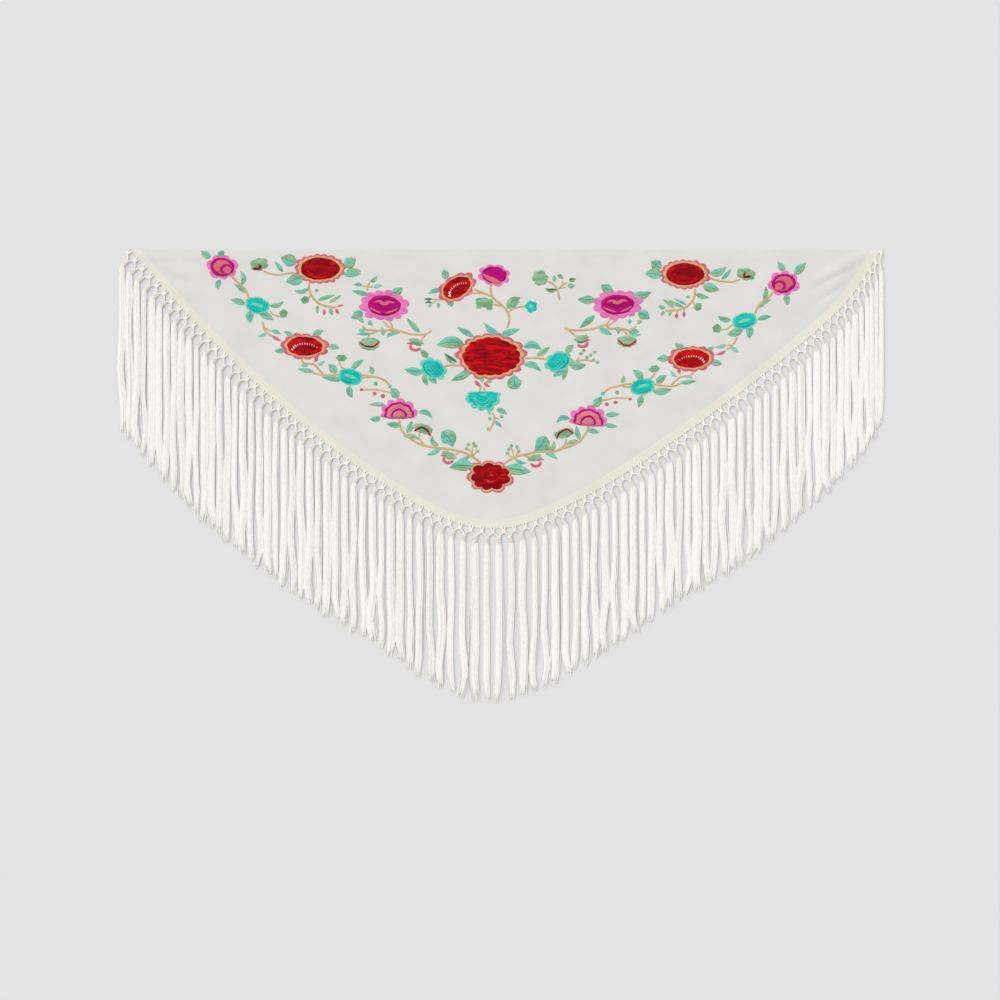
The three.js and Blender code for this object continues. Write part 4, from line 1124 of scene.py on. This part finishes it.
def stitch_tree():
    """Geometry Nodes: short stitches at even spacing along a line, each lying along it."""
    tree, given = new_tree("row_of_stitches", "Line", "Stitches", {
        "Spacing": 0.004, "Length": 0.0026, "Thickness": 0.0007}, {"Seed": SEED})
    line = node(tree, "GeometryNodeMeshToCurve", {"Mesh": given["Line"]}).outputs[0]
    points = node(tree, "GeometryNodeCurveToPoints", {
        "Curve": line, "Length": given["Spacing"]}, mode="LENGTH")
    grain = node(tree, "GeometryNodeMeshUVSphere", {"Segments": 6, "Rings": 4, "Radius": 0.5}).outputs[0]
    size = node(tree, "ShaderNodeCombineXYZ", {
        0: given["Thickness"], 1: given["Thickness"], 2: given["Length"]}).outputs[0]
    uneven_length = node(tree, "FunctionNodeRandomValue", {2: 0.8, 3: 1.2, "Seed": given["Seed"]},
                         data_type="FLOAT").outputs[1]
    placed = node(tree, "GeometryNodeInstanceOnPoints", {
        "Points": points.outputs["Points"], "Instance": grain, "Rotation": points.outputs["Rotation"],
        "Scale": dimmed(tree, size, uneven_length)})
    return end_tree(tree, placed.outputs[0], given["Material"])


def lines_to_piece(name, lines, share, strand, tree, settings):
    """Runs a node tree over lines of points (count, steps, 3) in millimetres and gives a plain mesh."""
    count, steps = lines.shape[:2]
    points = (lines.reshape(-1, 3) + SHIFT) * MM
    index = np.arange(count * steps).reshape(count, steps)
    edges = np.stack([index[:, :-1], index[:, 1:]], -1).reshape(-1, 2)
    mesh = bpy.data.meshes.new(name + "_lines")
    mesh.from_pydata(points.tolist(), edges.tolist(), [])
    for attribute, values in (("share", share), ("strand", strand)):
        made = mesh.attributes.new(attribute, "FLOAT", "POINT")
        made.data.foreach_set("value", np.broadcast_to(values, (count, steps)).astype(np.float32).ravel())
    piece = bpy.data.objects.new(name, mesh)
    bpy.context.scene.collection.objects.link(piece)
    modifier = piece.modifiers.new(name, "NODES")
    modifier.node_group = tree
    sockets = {item.name: item.identifier for item in tree.interface.items_tree if item.in_out == "INPUT"}
    for key, value in settings.items():
        modifier[sockets[key]] = value
    graph = bpy.context.evaluated_depsgraph_get()
    plain = bpy.data.meshes.new_from_object(piece.evaluated_get(graph), depsgraph=graph)
    plain.name = name
    piece.modifiers.clear()
    piece.data = plain
    bpy.data.meshes.remove(mesh)
    return piece


def post_share(post):
    """The share of the hem's edge where a post of the net stands."""
    return END_MARGIN + (1 - 2 * END_MARGIN) * np.asarray(post, float) / TASSELS


def net_point(post, aside, out):
    """A point of the net, aside along the hem from a post and out from it."""
    point, _, lean = edge_frame(post_share(post) + np.asarray(aside) / EDGE_LENGTH)
    return point + lean * np.asarray(out, float)[..., None]


def drop_at(share):
    """How far below the hem's edge the tassels end."""
    return np.interp(share, [row.share for row in FRINGE_DROP], [row.drop for row in FRINGE_DROP])


def bend_at(tassel):
    """Where a tassel turns from the net's lean to hanging straight down."""
    at, _, lean = edge_frame(post_share(tassel))
    return at + lean * (HEAD_FOOT + BEND_RISE) + np.array([0, -BEND_FALL])


def tassel_path(tassel):
    """The middle line of a tassel from inside its knot head to its end, and how far it is squeezed."""
    share = post_share(tassel + 0.5)
    at, _, lean = edge_frame(share)
    room = (bend_at(tassel + 0.75)[0] - bend_at(tassel + 0.25)[0]) * 2
    squeeze = min(1.0, room / FREE_ROOM)
    bend = bend_at(tassel + 0.5)
    low = at[1] - drop_at(share) - DROP_UNEVEN * uneven(tassel, 2)
    fall = bend[1] - low
    stops = [at + lean * TASSEL_ROOT, at + lean * (HEAD_FOOT + 2), bend, bend - [0, 0.1 * fall]]
    for part, kind in ((0.35, 5), (0.62, 6), (0.86, 7), (1.0, 1)):
        stops.append(bend + [SWAY * squeeze * part * uneven(tassel, kind), -part * fall])
    return spline(stops, 2), squeeze


# Half the width and thickness of a tassel along it, and of the solid core inside
Section = namedtuple("Section", "share wide core_wide thick core_thick")
SECTIONS = [
    Section(0, 3.4, 2.8, 1.3, 1.0), Section(0.035, 6.2, 5.4, 1.9, 1.5), Section(0.1, 7.4, 6.5, 2.1, 1.7),
    Section(0.6, 8.0, 7.0, 2.0, 1.6), Section(0.9, 8.2, 7.2, 1.8, 1.4), Section(1, 6.0, 3.6, 1.4, 0.9),
]


def section(t, column):
    """A column of SECTIONS at shares t of a tassel's length."""
    return np.interp(t, [row.share for row in SECTIONS], [getattr(row, column) for row in SECTIONS])


def half_width(tassel, squeeze, t, column):
    """Half the width of a tassel or of its core at shares t of its length."""
    return squeeze * (1 + WIDTH_UNEVEN * uneven(tassel, 9)) * section(t, column)


def tassel_lines(tassel, strands, random):
    """The strands of one tassel, from inside its knot head to their loose ends, and their tones."""
    middle, squeeze = tassel_path(tassel)
    t = arc_length(middle) / arc_length(middle)[-1]
    tangent = tangents(middle)
    half = half_width(tassel, squeeze, t, "wide")
    k = np.arange(strands)
    radius, angle = np.sqrt((k + 0.5) / strands), GOLDEN_ANGLE * k + random.uniform(0, 2 * math.pi)
    u0, w0 = radius * np.cos(angle), radius * np.sin(angle)
    # The strands drift a little from their places, flare out at their ends, and now and then one lies across
    drift = random.normal(0, 0.12, (strands, 1)) * np.sin(math.pi * t)[None, :]
    flare = random.normal(0, 0.3, (strands, 1)) * np.maximum(0, t - 0.7)[None, :] * 2.4
    crossing = (random.uniform(0, 1, (strands, 1)) < STRAYS) * random.choice([-1, 1], (strands, 1)) * 1.9
    start = random.uniform(0.1, 0.5, (strands, 1))
    stray = crossing * np.clip((t[None, :] - start) * 2.2, 0, 1)
    u = np.clip(u0[:, None] + drift + flare + stray, -1.3, 1.3)
    x = middle[None, :, 0] - tangent[None, :, 1] * u * half
    y = middle[None, :, 1] + tangent[None, :, 0] * u * half
    # Each strand ends a little earlier or later than the next
    ragged = np.clip(random.normal(-1, 4.0, strands), -10, 8)
    y = y - ragged[:, None] * np.maximum(0, t - 0.85)[None, :] / 0.15
    z = SILK_HEIGHT + w0[:, None] * section(t, "thick") * (1 - 0.4 * np.minimum(1, np.abs(u)) ** 2)
    z = np.maximum(z, 0.8) + 0.5 * np.minimum(1, np.abs(stray))
    return np.stack([x, y, z], -1), random.uniform(0, 1, strands)


def wound(coil, post):
    """The middle line of silk that is wound round a post, or round the knot head between two posts."""
    turn = 2 * math.pi * coil.turns * np.arange(coil.points) / (coil.points - 1)
    out = coil.start + coil.length * np.arange(coil.points) / (coil.points - 1)
    return np.column_stack([net_point(post, coil.reach * np.cos(turn), out),
                            coil.height + coil.swell * np.sin(turn)])


def net_lines(first, end):
    """The cords of one run of the net, their widths, and the silk round each of its knot heads."""
    cords = []
    for post in range(first, end + 1 if end == TASSELS else end):
        for side in (-1, 1):
            foot = spline([net_point(post, side * aside, out) for aside, out in POST_CORD], 6)
            height = np.interp(np.linspace(0, 1, len(foot)), [0, 0.2, 0.5, 1], POST_HEIGHTS)
            cords.append((np.column_stack([foot, height]), POST_CORD_WIDE))
        cords.append((wound(POST_COIL, post), POST_COIL_WIDE))
    heads = np.arange(first, end) + 0.5
    for head in heads:
        for side in (-1, 1):
            limb = [net_point(head + side * 0.5, -side * aside, out) for aside, out in LIMB_AT_POST]
            limb += [net_point(head, side * aside, out) for aside, out in LIMB_AT_HEAD]
            limb = spline(limb, 6)
            phase = np.linspace(0, 2 * LIMB_TURNS * math.pi, len(limb))
            aside = np.gradient(limb, axis=0)[:, ::-1] * [1, -1]
            for ply in (-1, 1):
                place = limb + PLY_ASIDE * ply * np.cos(phase)[:, None] * aside
                height = SILK_HEIGHT + PLY_RISE * ply * np.sin(phase)
                cords.append((np.column_stack([place, height]), LIMB_PLY_WIDE))
    return (np.stack([evenly(line, CORD_POINTS) for line, _ in cords]), np.array([wide for _, wide in cords]),
            np.stack([wound(HEAD_COIL, head) for head in heads]))


def tube_core(sewing, tassel):
    """The closed body of one tassel under its strands, which runs out before they do."""
    middle, squeeze = tassel_path(tassel)
    along = arc_length(middle)
    at = np.append(along[:-1], along[-1] - CORE_SHORT)
    middle, t = sampled(middle, along, at), at / along[-1]
    tangent = tangents(middle)
    half = half_width(tassel, squeeze, t, "core_wide")
    half[-1] *= CORE_TIP
    around = np.arange(CORE_SIDES)
    angle = around / CORE_SIDES * 2 * math.pi
    x = middle[:, None, 0] - tangent[:, None, 1] * np.cos(angle) * half[:, None]
    y = middle[:, None, 1] + tangent[:, None, 0] * np.cos(angle) * half[:, None]
    z = SILK_HEIGHT + np.sin(angle)[None, :] * section(t, "core_thick")[:, None]
    first = sewing.add_points(np.stack([x, y, z], -1), np.zeros((*x.shape, 2)))
    ring = first + np.arange(len(middle) - 1)[:, None] * CORE_SIDES
    here, after = ring + around, ring + (around + 1) % CORE_SIDES
    corners = np.stack([here, after, after + CORE_SIDES, here + CORE_SIDES], -1)
    sewing.add_faces(corners.reshape(-1, 4), "core")
    last = first + (len(middle) - 1) * CORE_SIDES
    sewing.add_faces([(first + around)[::-1], last + around], "core")


def join(name, pieces):
    """Joins pieces into one mesh object with all their materials."""
    work = bmesh.new()
    materials = []
    for piece in pieces:
        numbers = []
        for material in piece.data.materials:
            if material not in materials:
                materials.append(material)
            numbers.append(materials.index(material))
        before = len(work.faces)
        work.from_mesh(piece.data)
        work.faces.ensure_lookup_table()
        for face in work.faces[before:]:
            face.material_index = numbers[face.material_index]
    mesh = bpy.data.meshes.new(name)
    work.to_mesh(mesh)
    work.free()
    for material in materials:
        mesh.materials.append(material)
    for piece in pieces:
        bpy.data.objects.remove(piece)
    made = bpy.data.objects.new(name, mesh)
    bpy.context.scene.collection.objects.link(made)
    return made


class ShawlSizes(bpy.types.PropertyGroup):
    """Sizes of the shawl's threads and stitches."""

    weave: bpy.props.FloatProperty(
        name="Weave", description="Spacing of the threads drawn in the crepe", default=1.3 * MM,
        min=0.3 * MM, max=4 * MM, unit="LENGTH")
    strands: bpy.props.IntProperty(
        name="Strands", description="Strands of silk in each tassel", default=25, min=6, max=60)
    strand_thickness: bpy.props.FloatProperty(
        name="Strand", description="Thickness of one strand of a tassel", default=1.4 * MM,
        min=0.4 * MM, max=3 * MM, unit="LENGTH")
    hem_stitch: bpy.props.FloatProperty(
        name="Hem stitch", description="Spacing of the stitches that hold the hem", default=4 * MM,
        min=2 * MM, max=12 * MM, unit="LENGTH")
    camera_lens: bpy.props.FloatProperty(
        name="Lens", description="Focal length of the camera above the shawl, in millimetres", default=90,
        min=35, max=200, subtype="NONE")


def colour_property(code, use):
    """A colour that can be picked in the sidebar."""
    return bpy.props.FloatVectorProperty(
        name=use.split(",")[0].capitalize(), description="Colour of the " + use, subtype="COLOR", size=4,
        min=0, max=1, default=linear(code))


class ShawlColours(bpy.types.PropertyGroup):
    """Colours of the shawl's cloth and silks."""

    cloth: colour_property("#DEDCD6", "ground, silk crepe")
    cloth_shade: colour_property("#D9D7D1", "ground, where the cloth is greyer")
    hem: colour_property("#E6E2D6", "hem, doubled crepe")
    hem_shade: colour_property("#E0DCD0", "hem, where it is warmer")
    fringe: colour_property("#FFFEFA", "fringe, silk floss")
    # The darker fringe colour gives the strands their own tones and is also the painted shade between them
    fringe_shade: colour_property("#E9E7DE", "fringe, between the strands")
    cord: colour_property("#F8F4EA", "net, knotted silk")
    # The darker net colour is painted shade, in the knot heads and the dips of the cords' crinkles
    cord_painted_shade: colour_property("#E6DDCB", "net, in its knots")
    floor: colour_property("#DCDCDC", "floor, matt paper")


for silk_row in SILKS:
    ShawlColours.__annotations__[silk_row.name] = colour_property(silk_row.code, silk_row.use)

MADE = {}


def silks(context):
    """The embroidery silks, made once."""
    if "silks" not in MADE:
        colours = context.scene.shawl_colours
        MADE["silks"] = {
            row.name: stitched_silk(f"satin-stitched silk, {row.name}", list(getattr(colours, row.name)),
                                    linear(row.shaded), row.amount) for row in SILKS}
    return MADE["silks"]


class SHAWL_OT_ground(bpy.types.Operator):
    """Makes the crepe ground, a thin sheet with soft creases that lies on the floor."""

    bl_idname = "shawl.ground"
    bl_label = "Crepe ground"

    def execute(self, context):
        colours, sizes = context.scene.shawl_colours, context.scene.shawl_sizes
        columns, rows = GROUND_COLUMNS, GROUND_ROWS
        foot = inset_line(GROUND_FOOT, 3.0, columns)
        share = np.linspace(0, 1, rows)
        x = np.repeat(foot[:, :1], rows, axis=1)
        y = foot[:, 1:] + (TOP_EDGE - foot[:, 1:]) * share[None, :]
        lift = cloth_height(x, y)
        # The selvedge is rounded over the cloth's own thickness
        edge = np.minimum(TOP_EDGE - y, CLOTH_THICK) / CLOTH_THICK
        top = lift + CLOTH_THICK * (0.55 + 0.45 * np.sqrt(np.clip(edge, 0, 1)))
        bottom = np.maximum(0, lift - UNDER_DROP)
        sewing = Sewing()
        flat = np.stack([x, y], -1)
        upper = sewing.grid(np.concatenate([flat, top[..., None]], -1), flat, ["crepe"] * (rows - 1))
        lower = sewing.add_points(np.concatenate([flat, bottom[..., None]], -1), flat)
        here = lower + np.arange(columns - 1)[:, None] * rows + np.arange(rows - 1)
        corners = np.stack([here, here + 1, here + rows + 1, here + rows], -1)
        sewing.add_faces(corners.reshape(-1, 4), "crepe")
        rim = np.concatenate([
            np.arange(columns - 1) * rows, (columns - 1) * rows + np.arange(rows - 1),
            (np.arange(columns - 1)[::-1] + 1) * rows + rows - 1, np.arange(rows - 1)[::-1] + 1])
        after = np.roll(rim, -1)
        sewing.add_faces(np.stack([lower + rim, lower + after, upper + after, upper + rim], 1), "crepe")
        cloth = crepe("silk crepe, woven", list(colours.cloth), list(colours.cloth_shade), sizes.weave)
        made = sewing.finish("crepe_ground", {"crepe": cloth}, sharp=40)
        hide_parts("ground_cloth")
        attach(made, "root")
        MADE["ground"] = made
        area = np.sum((x[1:, :-1] - x[:-1, :-1]) * (y[1:, 1:] - y[1:, :-1]))
        MADE["ground_area"] = float(area) * MM * MM
        MADE["ground_flat"] = (float(np.ptp(x)) * MM, float(np.ptp(y)) * MM)
        return {"FINISHED"}


class SHAWL_OT_hem(bpy.types.Operator):
    """Makes the doubled hem with its rolled edge and the row of stitches that holds it."""

    bl_idname = "shawl.hem"
    bl_label = "Hem"

    def execute(self, context):
        colours, sizes = context.scene.shawl_colours, context.scene.shawl_sizes
        count = HEM_COLUMNS
        outer, inner = inset_line(0, 0.0, count), inset_line(HEM_WIDTH, 0.0, count)
        across, rise = np.array(HEM_SECTION).T
        x = outer[:, None, 0] + (inner - outer)[:, None, 0] * across
        y = outer[:, None, 1] + (inner - outer)[:, None, 1] * across
        along = arc_length(outer)
        pucker = 0.12 * np.sin(along / 2.3) * np.sin(along / 31) + 0.08 * np.sin(along / 7.7)
        z = rise[None, :] + cloth_height(x, y) + pucker[:, None] * np.sin(np.pi * across)[None, :]
        sewing = Sewing()
        points = np.stack([x, y, z], -1)
        width = len(across)
        upper = sewing.grid(points[:, ::-1], points[:, ::-1, :2], ["hem"] * (width - 1))
        below = np.array([1, HEM_FOLD + 0.005, HEM_FOLD, 0])
        under = np.stack([outer[:, None, k] + (inner - outer)[:, None, k] * below for k in (0, 1)], -1)
        lift = cloth_height(under[..., 0], under[..., 1])
        floor, over = np.maximum(0, lift - UNDER_DROP), lift + CLOTH_THICK + HEM_GAP
        under = np.concatenate([under, np.where(below > HEM_FOLD, over, floor)[..., None]], -1)
        lower = sewing.grid(under, under[..., :2], ["hem"] * 3)
        i = np.arange(count - 1)
        top_in, top_out = upper + i * width, upper + i * width + width - 1
        low_in, low_out = lower + i * 4, lower + i * 4 + 3
        sewing.add_faces(np.stack([top_out, top_out + width, low_out + 4, low_out], 1), "hem")
        sewing.add_faces(np.stack([top_in, low_in, low_in + 4, top_in + width], 1), "hem")
        for row in (0, count - 1):
            ring = [*(upper + row * width + np.arange(width)), *(lower + row * 4 + np.arange(4)[::-1])]
            sewing.add_faces([ring], "hem")
        cloth = crepe("silk crepe, doubled", list(colours.hem), list(colours.hem_shade), sizes.weave)
        made = sewing.finish("hem_turned", {"hem": cloth}, sharp=70)
        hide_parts("hem_band")
        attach(made, "root")
        seam = inset_line(HEM_WIDTH - SEAM_INSET, 1.0, count)
        line = np.column_stack([seam, cloth_height(seam[:, 0], seam[:, 1]) + SEAM_HEIGHT])[None]
        # The stitches are given the same low tone as the knot heads, and so as much of the net's painted
        # shade
        stitches = lines_to_piece("hem_stitches", line, 1.0, 0.6, MADE["stitch_tree"], {
            "Spacing": sizes.hem_stitch, "Length": 2.7 * MM, "Thickness": 0.75 * MM,
            "Material": MADE["cord_silk"]})
        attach(stitches, "root")
        MADE["hem"] = made
        MADE["hem_stitches"] = stitches
        return {"FINISHED"}


class SHAWL_OT_silks(bpy.types.Operator):
    """Makes the silks of the fringe and the node trees that lay threads and stitches."""

    bl_idname = "shawl.silks"
    bl_label = "Silks and stitches"

    def execute(self, context):
        colours = context.scene.shawl_colours
        MADE["sweep_tree"], MADE["stitch_tree"] = sweep_tree(), stitch_tree()
        MADE["floss"] = fringe_silk(
            "silk floss, hanging loose", list(colours.fringe), list(colours.fringe_shade), 0.42)
        MADE["cord_silk"] = fringe_silk(
            "silk floss, knotted", list(colours.cord), list(colours.cord_painted_shade), 0.5)
        silks(context)
        return {"FINISHED"}


class SHAWL_OT_fringe(bpy.types.Operator):
    """Makes the knotted net and the loose tassels, in eight runs round the hem."""

    bl_idname = "shawl.fringe"
    bl_label = "Knotted fringe"

    def execute(self, context):
        sizes = context.scene.shawl_sizes
        random = np.random.default_rng(SEED)
        each = TASSELS // RUNS
        MADE["fringe"] = []
        for run in range(RUNS):
            first, end = run * each, (run + 1) * each
            lines, tones = zip(*(tassel_lines(k, sizes.strands, random) for k in range(first, end)))
            lines, tones = np.concatenate(lines), np.concatenate(tones)
            t = np.linspace(0, 1, lines.shape[1])
            share = np.interp(t, [0, 0.93, 1], [1, 1, 0.8])[None, :]
            threads = lines_to_piece(f"strands_{run + 1}", lines, share, tones[:, None], MADE["sweep_tree"], {
                "Thickness": sizes.strand_thickness, "Sides": 4, "Wander": 1.2 * MM, "Wander Scale": 26.0,
                "Material": MADE["floss"]})
            sewing = Sewing()
            for tassel in range(first, end):
                tube_core(sewing, tassel)
            # The core carries no strand tone, so the floss draws it mostly in its darker colour: painted
            # shade seen between the strands
            core = sewing.finish(f"core_{run + 1}", {"core": MADE["floss"]})
            cords, widths, wraps = net_lines(first, end)
            net = lines_to_piece(f"net_{run + 1}", cords, widths[:, None], 0.8, MADE["sweep_tree"], {
                "Thickness": 1 * MM, "Sides": 4, "Wander": 0.0, "Material": MADE["cord_silk"]})
            # The heads are given a lower tone than the cords, so they take more of the painted shade: the
            # shade in the knots
            heads = lines_to_piece(f"heads_{run + 1}", wraps, 1.0, 0.6, MADE["sweep_tree"], {
                "Thickness": HEAD_COIL_WIDE * MM, "Sides": 4, "Wander": 0.0, "Material": MADE["cord_silk"]})
            made = join(f"tassels_{run + 1}", [threads, core])
            knots = join(f"knots_{run + 1}", [net, heads])
            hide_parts(f"fringe_{run + 1}")
            for piece in (made, knots):
                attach(piece, "root")
                MADE["fringe"].append(piece)
        return {"FINISHED"}


class SHAWL_OT_blossoms(bpy.types.Operator):
    """Makes the padded satin-stitch blossoms, one piece each."""

    bl_idname = "shawl.blossoms"
    bl_label = "Blossoms"

    def execute(self, context):
        for row in BLOSSOMS:
            sewing = Sewing()
            blossom(sewing, row)
            heart_strokes(sewing, row)
            made = sewing.finish(f"stitched_{row.name}", silks(context))
            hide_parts(f"blossom_{row.name}")
            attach(made, "root")
        return {"FINISHED"}


class SHAWL_OT_leaves(bpy.types.Operator):
    """Makes the leaves of the two slopes and the middle."""

    bl_idname = "shawl.leaves"
    bl_label = "Leaves"

    def execute(self, context):
        for name, low, high in LEAF_PIECES:
            sewing = Sewing()
            for row in LEAVES:
                if low <= row.x < high:
                    leaf(sewing, row)
            made = sewing.finish(f"leaves_{name}", silks(context))
            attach(made, "root")
        return {"FINISHED"}


class SHAWL_OT_stems(bpy.types.Operator):
    """Makes the twisted stems."""

    bl_idname = "shawl.stems"
    bl_label = "Stems"

    def execute(self, context):
        sewing = Sewing()
        for row in STEMS:
            stem(sewing, row)
        made = sewing.finish("stems", silks(context))
        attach(made, "root")
        return {"FINISHED"}


class SHAWL_OT_buds(bpy.types.Operator):
    """Makes the buds and berries with the arcs and hooks stitched over and beside them."""

    bl_idname = "shawl.buds"
    bl_label = "Buds and berries"

    def execute(self, context):
        sewing = Sewing()
        for row in BUDS:
            blossom(sewing, row)
        for x, y in BERRIES:
            blossom(sewing, Blossom(x, y, BERRY_SIZE, BERRY_SIZE, 0, 5, "berry"))
        for row in BUD_STROKES:
            foot, high = ON_BUD if row.silk == "red" else BESIDE_BUD
            stroke(sewing, row.points, row.width, row.silk, CLOTH_THICK + foot, high, pointed=False)
        made = sewing.finish("buds_and_berries", silks(context))
        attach(made, "root")
        return {"FINISHED"}


class SHAWL_OT_stage(bpy.types.Operator):
    """Makes the floor, the soft light and the camera straight above."""

    bl_idname = "shawl.stage"
    bl_label = "Floor, light and camera"

    def execute(self, context):
        scene, colours, sizes = context.scene, context.scene.shawl_colours, context.scene.shawl_sizes
        mesh = bpy.data.meshes.new("floor")
        corners = [(x * FLOOR_REACH, y * FLOOR_REACH, -FLOOR_DEPTH * MM) for x, y in FLOOR_CORNERS]
        mesh.from_pydata(corners, [], [(0, 1, 2, 3)])
        mesh.materials.append(paper_floor("matt paper", list(colours.floor)))
        floor = bpy.data.objects.new("floor", mesh)
        scene.collection.objects.link(floor)
        MADE["floor"] = floor
        world = bpy.data.worlds.new("soft daylight")
        world.use_nodes = True
        sky = world.node_tree.nodes["Background"].inputs
        sky["Color"].default_value = (1, 1, 1, 1)
        sky["Strength"].default_value = SKY_LIGHT
        scene.world = world
        # A large soft window, high at the upper left
        lamp = bpy.data.lights.new("window light", "SUN")
        lamp.angle = math.radians(WINDOW_ANGLE)
        lamp.energy = WINDOW_LIGHT
        holder = bpy.data.objects.new("window light", lamp)
        holder.rotation_mode = "QUATERNION"
        holder.rotation_quaternion = Vector(WINDOW_WAY).to_track_quat("-Z", "Y")
        scene.collection.objects.link(holder)
        camera = bpy.data.cameras.new("camera")
        camera.lens = sizes.camera_lens
        camera.sensor_width = SENSOR
        holder = bpy.data.objects.new("camera", camera)
        height = PICTURE_RISE + PICTURE_WIDTH * sizes.camera_lens / SENSOR
        holder.location = (np.array([0, PICTURE_MIDDLE, height]) + SHIFT) * MM
        scene.collection.objects.link(holder)
        scene.camera = holder
        camera.clip_end = 50
        scene.view_settings.view_transform = "Standard"
        scene.view_settings.look = "None"
        return {"FINISHED"}


class SHAWL_OT_declare(bpy.types.Operator):
    """An empty step: it does nothing when run."""

    bl_idname = "shawl.declare"
    bl_label = "State the cut"

    def execute(self, context):
        return {"FINISHED"}


OPERATORS = [
    SHAWL_OT_stage, SHAWL_OT_silks, SHAWL_OT_ground, SHAWL_OT_hem, SHAWL_OT_fringe, SHAWL_OT_blossoms,
    SHAWL_OT_leaves, SHAWL_OT_stems, SHAWL_OT_buds, SHAWL_OT_declare,
]


class SHAWL_PT_panel(bpy.types.Panel):
    """Lists the shawl's pieces, sizes and colours."""

    bl_idname = "SHAWL_PT_panel"
    bl_label = "Flamenco shawl"
    bl_space_type = "VIEW_3D"
    bl_region_type = "UI"
    bl_category = "Shawl"

    def draw(self, context):
        for operator in OPERATORS:
            self.layout.operator(operator.bl_idname)
        for group in (context.scene.shawl_sizes, context.scene.shawl_colours):
            for name in group.__annotations__:
                self.layout.prop(group, name)


CLASSES = [ShawlSizes, ShawlColours, *OPERATORS, SHAWL_PT_panel]


def register():
    for each in CLASSES:
        bpy.utils.register_class(each)
    bpy.types.Scene.shawl_sizes = bpy.props.PointerProperty(type=ShawlSizes)
    bpy.types.Scene.shawl_colours = bpy.props.PointerProperty(type=ShawlColours)


def unregister():
    del bpy.types.Scene.shawl_sizes, bpy.types.Scene.shawl_colours
    for each in reversed(CLASSES):
        bpy.utils.unregister_class(each)


def main():
    """Makes every piece."""
    register()
    for operator in OPERATORS:
        group, name = operator.bl_idname.split(".")
        getattr(getattr(bpy.ops, group), name)()


if __name__ == "__main__":
    main()
